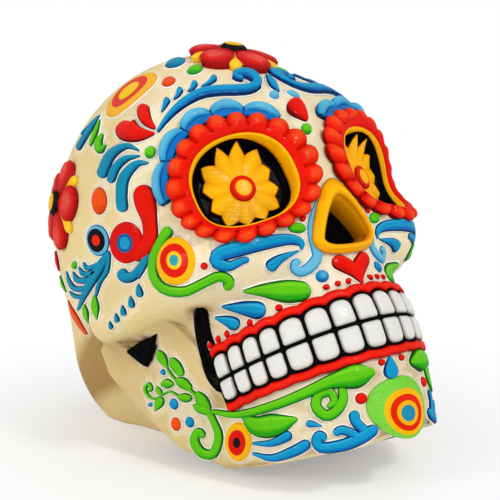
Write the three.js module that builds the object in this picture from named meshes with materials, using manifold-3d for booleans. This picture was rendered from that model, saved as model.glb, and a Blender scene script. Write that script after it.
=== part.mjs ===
// A painted sugar skull for the table: a cast cranium and jaw with teeth, eye rims,
// flowers and scrolls applied to them as separate pieces. Millimetres, +Z up, face towards -Y.
import * as THREE from 'three';
import { mergeVertices } from 'three/addons/utils/BufferGeometryUtils.js';
import Module from 'manifold-3d';

const wasm = await Module();
wasm.setup();

// The skull frame: x to the skull's left, y to its back, z to its crown.
const TILT_DEG = 28; // the head leans back, so the face looks up a little
const HEAD_ORIGIN = [0, 19.5, 86]; // skull-frame origin above the middle of the footprint
const CHART_CENTRE = [0, -8, -12]; // longitudes and latitudes are read from this point
const SEAT_GAP = 0.4; // glue line under every applied piece
const CAST_DETAIL = 10; // subdivisions of the cranium's mesh

// Jaw: a band round the dental arch that rises into a broad ramus under each cheek arch.
// Stations run from 0 at the chin to 1 at the condyle, and the half ellipse in front ends at `bend`.
const JAW = { frontY: -30, halfWidth: 47, depth: 50, flare: 11, back: 60, bend: 0.62 };
const JAW_LEAN = { fall: 48, narrow: 0.2, retreat: 4 }; // the chin is narrower and further back
const JAW_TOP = [[0.6, -67], [0.635, -62], [0.675, -38], [0.76, -36.5], [0.8, -42], [0.83, -48],
  [0.87, -43], [0.9, -36], [1, -35]];
const JAW_BOTTOM = [[0, -109.5], [0.2, -110], [0.45, -108.5], [0.62, -106], [0.72, -99.5], [0.82, -86.5],
  [0.92, -64], [1, -45]];
const JAW_WALL = [[0, 15], [0.5, 12], [0.7, 9], [1, 7]];

// Cranium: rounded lobes that run into each other. Centre, radii, blend width.
const DOME = { c: [0, 1, 1], r: [70, 80, 85] };
const DOME_TAPER = { amount: 0.24, from: -10, run: 55 }; // the dome narrows under the cheek arches
const BROW = { c: [30, -37, 18], r: [35, 32, 36], k: 14 };
const CHEEK = { c: [32, -44, -22], r: [32, 29, 21], k: 12 };
const NOSE_ROOT = { c: [0, -44, -26], r: [26, 32, 30], k: 12 };
const MUZZLE = { c: [0, JAW.frontY, -64], r: [JAW.halfWidth, JAW.depth, 52], k: 9 }; // follows the jaw
const ARCH = { from: [56, -42, -26], to: [62, 10, -27], r0: 9, r1: 8, k: 10 };
// The foot stands upright, so it is measured from the table: a broad back and a neck under the middle.
const BASE = { c: [0, HEAD_ORIGIN[1] + 36, 38], r: [50, 42, 54], k: 12 };
const NECK = { c: [0, HEAD_ORIGIN[1] + 8, 26], r: [36, 36, 42], k: 10 };

// Mouth: the line between the two rows of teeth falls a little towards the molars.
const BITE_Z = -63;
const BITE_Y = -80;
const BITE_FALL = 0.08;
const BITE_PART = 0.6; // half of the dark line between the two rows
const GUM_TUCK = 3; // the cast gum runs on under the bite before it is cut off
const TOOTH_STATIONS = [0, 0.088, 0.175, 0.261, 0.346, 0.413, 0.475, 0.535, 0.6]; // along the dental arch
const MOLAR_END = TOOTH_STATIONS[TOOTH_STATIONS.length - 1];
const TOOTH_SPACE = 1.5; // dark line between two teeth
const TOOTH_STAND = 2.6; // how far a tooth stands out of the gum
const UPPER_TOOTH = [10.4, 8.8]; // height at the front and at the molars
const LOWER_TOOTH = [10.6, 8];
const TOOTH_CORNER = 0.12; // how much a tooth's corners are drawn in
const LIP = { height: 3.6, wave: 0.6, clear: 0.7 };

// Eyes, one pair: a rounded socket with a scalloped rim, a sunflower on its floor and a cloud above.
const EYE = { x: 35, y: -66, z: 4, turn: 18, a: 22, b: 16.8, power: 2.5, roll: -7, depth: 8 };
const RIM = { a: 33.5, b: 24.3, stand: 5, scallop: 1.1 };
const RIM_BEAD_COUNT = 20;
const SUNFLOWER = { tip: 16.2, notch: 11.8, thick: 3 };
const SUNFLOWER_PETAL_COUNT = 12;
const SUNFLOWER_BUTTON = { r: 5.2, thick: 3 };
const CLOUD = { width: 8, stand: 4, clear: 0.7 };
const CLOUD_DEG = [2, 138]; // from the temple to the nose, round the eye
const CLOUD_LOBE_COUNT = 5;

// Nose: a pear-shaped recess inside a bevelled frame.
const NOSE = { top: -3.5, bottom: -37, wideAt: -27, half: 17.5, wall: 5, stand: 3.6, depth: 9, y: -78 };
const NOSE_PEAR = { pinch: 0.42, flat: 0.25, steep: 1.5 }; // narrow above, flat below

// Other applied pieces, by longitude (positive to the skull's right) and latitude in degrees.
const SCROLL_PATH = [[51, 31], [41, 38], [26, 41.5], [11, 42], [5.5, 45.5], [8, 49], [12, 48.5]];
const SCROLL_WIDTHS = [1.2, 3.6, 4.4, 4.4, 4.6, 4.2, 2.4];
const TOP_FLOWER = [0, 63];
const SIDE_FLOWER = [112, 32]; // behind the temple, on both sides
const FLOWER = { tip: 20.5, notch: 11.5, hole: 3, stand: 4.2, edge: 2.6 };
const FLOWER_PETAL_COUNT = 5;
const FLOWER_LEAF = { tip: 20, core: 8, stand: 2.2 };
const FLOWER_BUTTON = { r: 5.4, thick: 2.6 };
const FOREHEAD_DROP = { path: [[0, 34], [0, 31], [0, 27.5]], widths: [3.2, 6.4, 1] };
// The leaf on the jaw: stations along the arch, how far its middle is below the lip, and its widths.
const JAW_LEAF = { stations: [0.6, 0.43, 0.28, 0.1], below: [3, 4.2, 4.4, 4.2], widths: [1.2, 3, 5.2, 1] };
const CHIN_ROUNDEL = { lat: -51.6, r: 13, stand: 3.4 };
const RELIEF = 3; // how far a painted scroll, drop or leaf stands out

// Black slit between the ramus and the teeth, cut into the cranium.
const SLIT = { path: [[59, -25], [66, -38], [64, -44]], width: 6, depth: 7 };
// Dark triangle between the ramus and the cheek arch.
const NOTCH = { corners: [[108, -24.5], [90, -25.5], [101, -32]], depth: 5 };

const COLOUR = {
  cream: 0xe9dcb6, red: 0xc8161a, orange: 0xe2431a, yellow: 0xf2a90c, blue: 0x2f86c4, green: 0x56b52c,
  white: 0xf4f1ea,
};
const GLOSS = { roughness: 0.32, metalness: 0 };

const tilt = THREE.MathUtils.degToRad(TILT_DEG);
const clamp = THREE.MathUtils.clamp;
const lerp = THREE.MathUtils.lerp;
const rad = THREE.MathUtils.degToRad;
const ease = (t) => THREE.MathUtils.smoothstep(t, 0, 1);
const toTable = new THREE.Matrix4().makeTranslation(...HEAD_ORIGIN)
  .multiply(new THREE.Matrix4().makeRotationX(-tilt));

// Rounded forms as signed distances: negative inside.
const lobe = (x, y, z, { c, r }) => {
  const p = [x - c[0], y - c[1], z - c[2]];
  const k0 = Math.hypot(p[0] / r[0], p[1] / r[1], p[2] / r[2]);
  const k1 = Math.hypot(p[0] / r[0] ** 2, p[1] / r[1] ** 2, p[2] / r[2] ** 2);
  return k0 * (k0 - 1) / Math.max(k1, 1e-9);
};

const blend = (a, b, k) => {
  const h = clamp(0.5 + 0.5 * (b - a) / k, 0, 1);
  return b * (1 - h) + a * h - k * h * (1 - h);
};

const archBar = (x, y, z) => {
  const axis = ARCH.to.map((v, i) => v - ARCH.from[i]);
  const p = [x - ARCH.from[0], y - ARCH.from[1], z - ARCH.from[2]];
  const length2 = axis.reduce((sum, v) => sum + v * v, 0);
  const t = clamp(p.reduce((sum, v, i) => sum + v * axis[i], 0) / length2, 0, 1);
  return Math.hypot(...p.map((v, i) => v - t * axis[i])) - lerp(ARCH.r0, ARCH.r1, t);
};

const biteHeight = (y) => BITE_Z - BITE_FALL * (y - BITE_Y);

// Cranium field. The muzzle is kept a little below the bite, where the cut makes a crisp edge.
const cranium = (px, y, z) => {
  const x = Math.abs(px);
  const taper = 1 + DOME_TAPER.amount * ease((DOME_TAPER.from - z) / DOME_TAPER.run);
  let d = lobe(x * taper, y, z, DOME);
  d = blend(d, lobe(x, y, z, BROW), BROW.k);
  d = blend(d, lobe(x, y, z, CHEEK), CHEEK.k);
  d = blend(d, archBar(x, y, z), ARCH.k);
  d = blend(d, lobe(x, y, z, NOSE_ROOT), NOSE_ROOT.k);
  const underBite = biteHeight(y) - GUM_TUCK - z;
  d = blend(d, -blend(-lobe(x, y, z, MUZZLE), -underBite, 2), MUZZLE.k);
  const table = new THREE.Vector3(x, y, z).applyMatrix4(toTable);
  d = blend(d, lobe(table.x, table.y, table.z, BASE), BASE.k);
  return blend(d, lobe(table.x, table.y, table.z, NECK), NECK.k);
};

// Outer face of the jaw: a half ellipse in front, flaring sides behind, leaning in towards the chin.
const jawFace = (px, y, z) => {
  const lean = Math.max((biteHeight(y) - z) / JAW_LEAN.fall, 0) ** 2;
  const broad = JAW.halfWidth + JAW.flare * ease((y - JAW.frontY) / JAW.back);
  const half = broad * (1 - JAW_LEAN.narrow * lean);
  const forward = Math.min(y - JAW.frontY, 0) / (JAW.depth - JAW_LEAN.retreat * lean);
  return (Math.hypot(px / half, forward) - 1) * half * 0.8;
};

// Places on the skull: a direction from the chart centre, then the distance to the surface.
const direction = (lon, lat) => {
  const [o, a] = [rad(lon), rad(lat)];
  return new THREE.Vector3(-Math.sin(o) * Math.cos(a), -Math.cos(o) * Math.cos(a), Math.sin(a));
};

const centre = new THREE.Vector3(...CHART_CENTRE);
const towards = (p) => p.clone().sub(centre).normalize();

const reach = (dir, field, level = 0, from = centre) => {
  const value = (r) => field(from.x + r * dir.x, from.y + r * dir.y, from.z + r * dir.z) - level;
  let low = 20;
  let high = low;
  while (high < 160 && value(high) < 0) {
    low = high;
    high += 6;
  }
  for (let i = 0; i < 24; i += 1) {
    const middle = (low + high) / 2;
    if (value(middle) < 0) low = middle;
    else high = middle;
  }
  return (low + high) / 2;
};

const onSkin = (dir, height, field = cranium) => {
  return centre.clone().addScaledVector(dir, reach(dir, field) + height);
};

const normalAt = (p, field) => {
  const step = 0.5;
  const slope = (axis) => {
    const [ahead, behind] = [p.clone().addScaledVector(axis, step), p.clone().addScaledVector(axis, -step)];
    return field(...ahead) - field(...behind);
  };
  const axes = [new THREE.Vector3(1, 0, 0), new THREE.Vector3(0, 1, 0), new THREE.Vector3(0, 0, 1)];
  return new THREE.Vector3(...axes.map(slope)).normalize();
};

// Meshes and solids
const geometryOf = (points, triangles) => {
  const geometry = new THREE.BufferGeometry();
  const places = points.flatMap((p) => [p.x, p.y, p.z]);
  geometry.setAttribute('position', new THREE.Float32BufferAttribute(places, 3));
  geometry.setIndex(triangles.flat());
  return geometry;
};

// One vertex at each place, and no triangle that has shrunk to a line or a point.
const welded = (geometry) => {
  const bare = geometry.clone();
  bare.deleteAttribute('normal');
  bare.deleteAttribute('uv');
  const joined = mergeVertices(bare, 1e-4);
  const index = joined.index.array;
  const kept = [];
  for (let i = 0; i < index.length; i += 3) {
    const [a, b, c] = [index[i], index[i + 1], index[i + 2]];
    if (a !== b && b !== c && c !== a) kept.push(a, b, c);
  }
  joined.setIndex(kept);
  return joined;
};

const solidOf = (geometry) => {
  const closed = welded(geometry);
  return new wasm.Manifold(new wasm.Mesh({
    numProp: 3,
    vertProperties: new Float32Array(closed.attributes.position.array),
    triVerts: new Uint32Array(closed.index.array),
  }));
};

const meshOf = (solid) => {
  const { vertProperties, triVerts } = solid.getMesh();
  const geometry = new THREE.BufferGeometry();
  geometry.setAttribute('position', new THREE.BufferAttribute(new Float32Array(vertProperties), 3));
  geometry.setIndex(new THREE.BufferAttribute(new Uint32Array(triVerts), 1));
  return geometry;
};

const mirrored = (geometry) => {
  const copy = welded(geometry);
  copy.applyMatrix4(new THREE.Matrix4().makeScale(-1, 1, 1));
  const index = Array.from(copy.index.array);
  for (let i = 0; i < index.length; i += 3) [index[i], index[i + 1]] = [index[i + 1], index[i]];
  copy.setIndex(index);
  return copy;
};

const cut = (geometry, ...tools) => {
  return meshOf(tools.reduce((solid, tool) => solid.subtract(tool), solidOf(geometry)));
};

// A star-shaped casting: every vertex of a ball moved out to the field's surface.
const casting = (field, level) => {
  const shell = welded(new THREE.IcosahedronGeometry(1, CAST_DETAIL));
  const p = shell.attributes.position;
  for (let i = 0; i < p.count; i += 1) {
    const dir = new THREE.Vector3().fromBufferAttribute(p, i).normalize();
    const q = centre.clone().addScaledVector(dir, reach(dir, field, level));
    p.setXYZ(i, q.x, q.y, q.z);
  }
  return shell;
};

// A slab over a grid: top and bottom are functions of u and v in 0..1, u may run round.
const slab = (nu, nv, round, top, bottom) => {
  const points = [];
  const rows = round ? nu : nu + 1;
  for (const side of [top, bottom]) {
    for (let i = 0; i < rows; i += 1) {
      for (let j = 0; j <= nv; j += 1) points.push(side(i / nu, j / nv));
    }
  }
  const at = (layer, i, j) => (layer * rows + (round ? i % nu : i)) * (nv + 1) + j;
  const triangles = [];
  const quad = (a, b, c, d) => triangles.push([a, b, c], [a, c, d]);
  for (let i = 0; i < nu; i += 1) {
    for (let j = 0; j < nv; j += 1) {
      quad(at(0, i, j), at(0, i + 1, j), at(0, i + 1, j + 1), at(0, i, j + 1));
      quad(at(1, i, j), at(1, i, j + 1), at(1, i + 1, j + 1), at(1, i + 1, j));
    }
    quad(at(0, i, 0), at(1, i, 0), at(1, i + 1, 0), at(0, i + 1, 0));
    quad(at(0, i, nv), at(0, i + 1, nv), at(1, i + 1, nv), at(1, i, nv));
  }
  if (!round) {
    for (let j = 0; j < nv; j += 1) {
      quad(at(0, 0, j), at(0, 0, j + 1), at(1, 0, j + 1), at(1, 0, j));
      quad(at(0, nu, j), at(1, nu, j), at(1, nu, j + 1), at(0, nu, j + 1));
    }
  }
  return outward(geometryOf(points, triangles));
};

// Faces outwards: a closed mesh with a negative volume is turned inside out.
const outward = (geometry) => {
  const p = geometry.attributes.position;
  const index = Array.from(geometry.index.array);
  const [a, b, c] = [new THREE.Vector3(), new THREE.Vector3(), new THREE.Vector3()];
  let volume = 0;
  for (let i = 0; i < index.length; i += 3) {
    a.fromBufferAttribute(p, index[i]);
    b.fromBufferAttribute(p, index[i + 1]);
    c.fromBufferAttribute(p, index[i + 2]);
    volume += a.dot(b.cross(c)) / 6;
  }
  if (volume < 0) {
    for (let i = 0; i < index.length; i += 3) [index[i], index[i + 1]] = [index[i + 1], index[i]];
    geometry.setIndex(index);
  }
  return geometry;
};

const pillow = (v) => 1 - (2 * v - 1) ** 2;

const between = (table, t) => {
  const i = table.findIndex(([key]) => key >= t);
  if (i < 0) return table[table.length - 1][1];
  if (i === 0) return table[0][1];
  const [[k0, v0], [k1, v1]] = [table[i - 1], table[i]];
  return lerp(v0, v1, (t - k0) / (k1 - k0));
};

const spread = (values, u) => between(values.map((v, i) => [i / (values.length - 1), v]), u);

// A tapering stroke laid along a path of longitudes and latitudes.
const stroke = (path, widths, stand, steps, field, foot = SEAT_GAP) => {
  const curve = new THREE.CatmullRomCurve3(path.map(([lon, lat]) => onSkin(direction(lon, lat), 0, field)));
  const edge = (u, v) => {
    const p = curve.getPoint(u);
    const side = curve.getTangent(u).cross(towards(p)).normalize();
    return towards(p.addScaledVector(side, (v - 0.5) * spread(widths, u)));
  };
  const top = (u, v) => onSkin(edge(u, v), stand * (0.55 + 0.45 * pillow(v)), field);
  const bottom = (u, v) => onSkin(edge(u, v), foot, field);
  return slab(steps, 2, false, top, bottom);
};

// A round relief about a place, from the hole at its middle, if any, out to radius(angle).
const rosette = (place, hole, radius, steps, rings, topAt, bottomAt, field = cranium) => {
  const middle = onSkin(place, 0, field);
  const out = normalAt(middle, field);
  const east = new THREE.Vector3(0, 0, 1).cross(out).normalize();
  const north = out.clone().cross(east);
  const dirAt = (u, v) => {
    const angle = u * 2 * Math.PI;
    const r = lerp(hole, radius(angle), v);
    const p = middle.clone().addScaledVector(east, r * Math.cos(angle));
    return towards(p.addScaledVector(north, r * Math.sin(angle)));
  };
  const top = (u, v) => onSkin(dirAt(u, v), topAt(v, u * 2 * Math.PI), field);
  const bottom = (u, v) => onSkin(dirAt(u, v), bottomAt(v, u * 2 * Math.PI), field);
  return slab(steps, rings, true, top, bottom);
};

// Castings
const tableBlock = () => {
  const block = new THREE.BoxGeometry(600, 600, 300).translate(0, 0, -150);
  return solidOf(block.applyMatrix4(toTable.clone().invert()));
};

const biteBlock = () => {
  const block = new THREE.BoxGeometry(200, 140, 120).translate(0, 0, -60);
  const slope = Math.atan(BITE_FALL);
  const middleY = -60;
  return solidOf(block.rotateX(-slope).translate(0, middleY, biteHeight(middleY)));
};

const eyeFrame = () => {
  const turn = rad(EYE.turn);
  const out = new THREE.Vector3(-Math.sin(turn), -Math.cos(turn), 0);
  const side = new THREE.Vector3(-Math.cos(turn), Math.sin(turn), 0);
  return { at: new THREE.Vector3(-EYE.x, EYE.y, EYE.z), side, up: new THREE.Vector3(0, 0, 1), out };
};

// A point of the eye's plane: an oval of half axes a and b at an angle, rolled with the socket.
const eyeOval = (a, b, angle, power = 2) => {
  const [c, s] = [Math.cos(angle), Math.sin(angle)];
  const r = (Math.abs(c / a) ** power + Math.abs(s / b) ** power) ** (-1 / power);
  const turned = angle + rad(EYE.roll);
  return [r * Math.cos(turned), r * Math.sin(turned)];
};

const eyePoint = ([a, b]) => {
  const { at, side, up } = eyeFrame();
  return at.clone().addScaledVector(side, a).addScaledVector(up, b);
};

const eyeBasis = (lift) => {
  const { at, side, up, out } = eyeFrame();
  const basis = new THREE.Matrix4().makeBasis(side.clone().negate(), up, out);
  return basis.setPosition(at.clone().addScaledVector(out, lift));
};

const shapeOf = (points) => new THREE.Shape(points.map(([x, y]) => new THREE.Vector2(x, y)));
const ring = (steps, at) => Array.from({ length: steps }, (_, i) => at(i / steps * 2 * Math.PI));

const eyeSocket = () => {
  const outline = ring(32, (angle) => eyeOval(EYE.a, EYE.b, angle, EYE.power)).map(([a, b]) => [-a, b]);
  const pocket = new THREE.ExtrudeGeometry(shapeOf(outline.reverse()), { depth: 60, bevelEnabled: false });
  return pocket.applyMatrix4(eyeBasis(-EYE.depth));
};

// Pear outline of the nose in x and z, moved in by an inset.
const noseOutline = (inset, steps) => ring(steps, (angle) => {
  const [c, s] = [Math.sin(angle), Math.cos(angle)];
  const half = NOSE.half - inset;
  const rise = NOSE.top - NOSE.wideAt - NOSE_PEAR.steep * inset;
  const fall = NOSE.wideAt - NOSE.bottom - inset;
  const x = half * c * (s > 0 ? 1 - NOSE_PEAR.pinch * s : 1);
  return [x, NOSE.wideAt + (s > 0 ? rise : fall) * s * (s > 0 ? 1 : 1 - NOSE_PEAR.flat * s * s)];
});

const noseRecess = () => {
  const outline = shapeOf(noseOutline(NOSE.wall - 0.6, 28));
  const pocket = new THREE.ExtrudeGeometry(outline, { depth: 60, bevelEnabled: false });
  pocket.rotateX(Math.PI / 2);
  return pocket.translate(0, NOSE.y + NOSE.depth, 0);
};

const slit = () => stroke(SLIT.path, [SLIT.width, SLIT.width, SLIT.width], 12, 6, cranium, -SLIT.depth);

const notch = () => {
  const corners = (height) => NOTCH.corners.map(([lon, lat]) => onSkin(direction(lon, lat), height));
  const walls = [[0, 1, 4], [0, 4, 3], [1, 2, 5], [1, 5, 4], [2, 0, 3], [2, 3, 5]];
  return outward(geometryOf([...corners(12), ...corners(-NOTCH.depth)], [[0, 2, 1], [3, 4, 5], ...walls]));
};

const buildCranium = () => {
  const tools = [tableBlock(), biteBlock(), solidOf(noseRecess())];
  for (const tool of [eyeSocket(), slit(), notch()]) tools.push(solidOf(tool), solidOf(mirrored(tool)));
  return cut(casting(cranium, 0), ...tools);
};

// Jaw: one section at each station of the arch, from one condyle round the chin to the other.
const jawPoint = (station, height, inset) => {
  const t = Math.abs(station);
  const angle = clamp(t / JAW.bend, 0, 1) * Math.PI / 2;
  const back = clamp((t - JAW.bend) / (1 - JAW.bend), 0, 1);
  const y = JAW.frontY - JAW.depth * Math.cos(angle) + JAW.back * back;
  const lean = Math.max((biteHeight(y) - height) / JAW_LEAN.fall, 0) ** 2;
  const half = (JAW.halfWidth + JAW.flare * ease(back)) * (1 - JAW_LEAN.narrow * lean);
  const deep = JAW.depth - JAW_LEAN.retreat * lean;
  const x = half * Math.sin(angle);
  const n = new THREE.Vector2(Math.sin(angle) / half, -Math.cos(angle) / deep).normalize();
  const faceY = JAW.frontY - deep * Math.cos(angle) + JAW.back * back;
  return new THREE.Vector3(Math.sign(station || 1) * (x - inset * n.x), faceY - inset * n.y, height);
};

const jawSection = (station) => {
  const t = Math.abs(station);
  const y = JAW.frontY - JAW.depth * Math.cos(clamp(t / JAW.bend, 0, 1) * Math.PI / 2);
  const top = t < MOLAR_END ? biteHeight(y) : between(JAW_TOP, t);
  const bottom = between(JAW_BOTTOM, t);
  const wall = between(JAW_WALL, t);
  const at = (v, inset) => jawPoint(station, lerp(bottom, top, v), inset);
  return [at(0, 0.4 * wall), at(0.05, 0.12 * wall), at(0.3, 0), at(0.6, 0), at(0.88, 0), at(1, 0.6),
    at(1, wall - 0.6), at(0.6, wall), at(0.3, wall), at(0.05, 0.9 * wall)];
};

const jawBand = () => {
  const stations = 44;
  const sections = [];
  for (let i = 0; i <= stations; i += 1) sections.push(jawSection(lerp(-1, 1, i / stations)));
  const size = sections[0].length;
  const triangles = [];
  for (let i = 0; i < stations; i += 1) {
    for (let j = 0; j < size; j += 1) {
      const [a, b] = [i * size + j, i * size + (j + 1) % size];
      triangles.push([a, b, b + size], [a, b + size, a + size]);
    }
  }
  const last = stations * size;
  for (let j = 1; j < size - 1; j += 1) {
    triangles.push([0, j + 1, j], [last, last + j, last + j + 1]);
  }
  return outward(geometryOf(sections.flat(), triangles));
};

// Teeth and lips: patches between two stations of the arch and two heights, seen from the arch's axis.
const onArch = (station, height, stand, field) => {
  const axis = new THREE.Vector3(0, JAW.frontY, height);
  const dir = jawPoint(station, height, 0).sub(axis).normalize();
  return axis.clone().addScaledVector(dir, reach(dir, field, 0, axis) + stand);
};

const archPatch = (from, to, low, high, stand, field, nu, nv) => {
  const place = (u, v, round) => {
    const [p, q] = [2 * u - 1, 2 * v - 1];
    const [x, z] = [p * (1 - round * q * q), q * (1 - round * p * p)];
    const station = lerp(from, to, 0.5 + x / 2);
    return [station, lerp(low(station), high(station), 0.5 + z / 2)];
  };
  const height = (u, v) => stand * (0.6 + 0.4 * Math.min(pillow(u), pillow(v)));
  const top = (u, v) => onArch(...place(u, v, TOOTH_CORNER), height(u, v), field);
  const bottom = (u, v) => onArch(...place(u, v, TOOTH_CORNER), SEAT_GAP, field);
  return slab(nu, nv, false, top, bottom);
};

const biteAt = (station) => biteHeight(jawPoint(station, BITE_Z, 0).y);
const toothHeight = (sizes, station) => lerp(sizes[0], sizes[1], Math.abs(station) / MOLAR_END);
const upperGum = (station) => biteAt(station) + BITE_PART + toothHeight(UPPER_TOOTH, station);
const lowerGum = (station) => biteAt(station) - BITE_PART - toothHeight(LOWER_TOOTH, station);

const toothPatch = (k, upper) => {
  const mid = (TOOTH_STATIONS[k] + TOOTH_STATIONS[k + 1]) / 2;
  const ends = [TOOTH_STATIONS[k], TOOTH_STATIONS[k + 1]];
  const [first, last] = ends.map((t) => jawPoint(t, BITE_Z, 0));
  const keep = 1 - TOOTH_SPACE / first.distanceTo(last);
  const [from, to] = ends.map((t) => -lerp(mid, t, keep));
  const bite = (s) => biteAt(s) + (upper ? BITE_PART : -BITE_PART);
  return upper
    ? archPatch(from, to, bite, upperGum, TOOTH_STAND, cranium, 3, 3)
    : archPatch(from, to, lowerGum, bite, TOOTH_STAND, jawFace, 3, 3);
};

const lipPatch = (upper) => {
  const steps = 32;
  const teeth = TOOTH_STATIONS.length - 1;
  const wave = (s) => LIP.wave * Math.cos(s / MOLAR_END * teeth * 2 * Math.PI);
  const gum = (s) => (upper ? upperGum(s) + LIP.clear : lowerGum(s) - LIP.clear);
  const far = (s) => gum(s) + (upper ? 1 : -1) * (LIP.height + wave(s));
  const field = upper ? cranium : jawFace;
  const place = (u, v) => {
    const s = lerp(-MOLAR_END, MOLAR_END, u);
    return [s, lerp(gum(s), far(s), v)];
  };
  const top = (u, v) => onArch(...place(u, v), TOOTH_STAND * (0.5 + 0.4 * pillow(v)), field);
  const bottom = (u, v) => onArch(...place(u, v), SEAT_GAP, field);
  return slab(steps, 2, false, top, bottom);
};

const jawLeaf = () => {
  const lipFoot = (s) => lowerGum(s) - LIP.clear - LIP.height - LIP.wave;
  const place = (u, v) => {
    const s = -spread(JAW_LEAF.stations, u);
    const middle = lipFoot(s) - spread(JAW_LEAF.below, u);
    return [s, middle + (v - 0.5) * spread(JAW_LEAF.widths, u)];
  };
  const top = (u, v) => onArch(...place(u, v), RELIEF * (0.55 + 0.45 * pillow(v)), jawFace);
  const bottom = (u, v) => onArch(...place(u, v), SEAT_GAP, jawFace);
  return slab(14, 2, false, top, bottom);
};

// Eye pieces, made for the skull's right side
const eyeRim = () => {
  const bulge = (angle) => RIM.scallop * Math.abs(Math.cos(angle * RIM_BEAD_COUNT / 2));
  const edge = (u, v) => {
    const angle = u * 2 * Math.PI;
    const [a0, b0] = eyeOval(EYE.a + 0.8, EYE.b + 0.8, angle, EYE.power);
    const [a1, b1] = eyeOval(RIM.a + bulge(angle), RIM.b + bulge(angle), angle);
    return towards(eyePoint([lerp(a0, a1, v), lerp(b0, b1, v)]));
  };
  const top = (u, v) => onSkin(edge(u, v), RIM.stand * (0.45 + 0.55 * pillow(0.2 + 0.75 * v)));
  const bottom = (u, v) => onSkin(edge(u, v), SEAT_GAP);
  return slab(RIM_BEAD_COUNT * 2, 2, true, top, bottom);
};

const browCloud = () => {
  const edge = (u, v) => {
    const angle = rad(lerp(...CLOUD_DEG, u)) - rad(EYE.roll);
    const clear = RIM.scallop + CLOUD.clear;
    const lobed = 0.68 + 0.32 * Math.abs(Math.sin(u * CLOUD_LOBE_COUNT * Math.PI));
    const grown = clear + v * CLOUD.width * lobed;
    return towards(eyePoint(eyeOval(RIM.a + grown, RIM.b + grown, angle)));
  };
  const top = (u, v) => onSkin(edge(u, v), CLOUD.stand * (0.5 + 0.5 * pillow(v)));
  const bottom = (u, v) => onSkin(edge(u, v), SEAT_GAP);
  return slab(CLOUD_LOBE_COUNT * 4, 2, false, top, bottom);
};

const sunflower = () => {
  const steps = SUNFLOWER_PETAL_COUNT * 2;
  const outline = Array.from({ length: steps }, (_, i) => {
    const r = i % 2 ? SUNFLOWER.notch : SUNFLOWER.tip;
    const angle = i / steps * 2 * Math.PI;
    return [r * Math.cos(angle), r * Math.sin(angle)];
  });
  const bevel = { bevelThickness: 1, bevelSize: 1, bevelOffset: -1, bevelSegments: 1 };
  const flower = new THREE.ExtrudeGeometry(shapeOf(outline), { depth: SUNFLOWER.thick - 1, ...bevel });
  flower.translate(0, 0, 1);
  return flower.applyMatrix4(eyeBasis(-EYE.depth + SEAT_GAP));
};

const dome = (radius, thick) => {
  const profile = [[0, 0], [radius, 0], [radius, 0.45 * thick], [0.72 * radius, 0.86 * thick], [0, thick]];
  const button = new THREE.LatheGeometry(profile.map(([x, y]) => new THREE.Vector2(x, y)), 18);
  return button.rotateX(Math.PI / 2);
};

const sunflowerButton = () => {
  const lift = -EYE.depth + SEAT_GAP + SUNFLOWER.thick + 1 + SEAT_GAP;
  return dome(SUNFLOWER_BUTTON.r, SUNFLOWER_BUTTON.thick).applyMatrix4(eyeBasis(lift));
};

// Flowers: a star of leaves on the skin, petals over it, a button on top
const flowerLeaves = (place, grow, foot) => {
  const radius = (angle) => {
    const wave = Math.max(Math.cos(FLOWER_PETAL_COUNT * (angle + Math.PI / 2) + Math.PI), 0) ** 0.7;
    return FLOWER_LEAF.core + (FLOWER_LEAF.tip - FLOWER_LEAF.core) * wave + grow;
  };
  const hole = FLOWER.hole - grow;
  return rosette(place, hole, radius, 30, 2, () => FLOWER_LEAF.stand + grow, () => foot);
};

const flowerPetals = (place) => {
  const radius = (angle) => {
    const wave = Math.abs(Math.cos(FLOWER_PETAL_COUNT * (angle + Math.PI / 2) / 2)) ** 0.6;
    return lerp(FLOWER.notch, FLOWER.tip, wave);
  };
  const top = (v) => (v < 1 ? FLOWER.stand : FLOWER.edge);
  return rosette(place, FLOWER.hole, radius, 25, 2, top, () => SEAT_GAP);
};

const flowerButton = (place) => {
  const foot = FLOWER.stand + SEAT_GAP;
  const top = (v) => foot + FLOWER_BUTTON.thick * (1 - 0.5 * v * v);
  return rosette(place, 0, () => FLOWER_BUTTON.r, 14, 2, top, () => foot);
};

// Nose frame: a bevelled ring round the recess
const noseRim = () => {
  const steps = 24;
  const outer = noseOutline(0, steps);
  const inner = noseOutline(NOSE.wall, steps);
  const edge = (u, v) => {
    const i = Math.round(u * steps) % steps;
    const [x, z] = [lerp(inner[i][0], outer[i][0], v), lerp(inner[i][1], outer[i][1], v)];
    return towards(new THREE.Vector3(x, NOSE.y, z));
  };
  const top = (u, v) => onSkin(edge(u, v), NOSE.stand * (0.4 + 0.6 * pillow(0.15 + 0.6 * v)));
  const bottom = (u, v) => onSkin(edge(u, v), SEAT_GAP);
  return slab(steps, 2, true, top, bottom);
};

// Assembly
const skull = new THREE.Group();

const place = (name, geometry, colour) => {
  const material = new THREE.MeshStandardMaterial({ color: COLOUR[colour], ...GLOSS });
  const mesh = new THREE.Mesh(welded(geometry).applyMatrix4(toTable), material);
  mesh.name = name;
  skull.add(mesh);
};

const placePair = (name, geometry, colour) => {
  place(`${name}_left`, mirrored(geometry), colour);
  place(`${name}_right`, geometry, colour);
};

const craniumSeat = solidOf(casting(cranium, SEAT_GAP)); // the cranium and its glue line
place('cranium', buildCranium(), 'cream');
place('jaw', cut(jawBand(), craniumSeat, tableBlock()), 'cream');

for (let k = 0; k < TOOTH_STATIONS.length - 1; k += 1) {
  for (const row of ['upper', 'lower']) {
    const tooth = toothPatch(k, row === 'upper');
    place(`${row}_tooth_left_${k + 1}`, mirrored(tooth), 'white');
    place(`${row}_tooth_right_${k + 1}`, tooth, 'white');
  }
}

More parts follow.
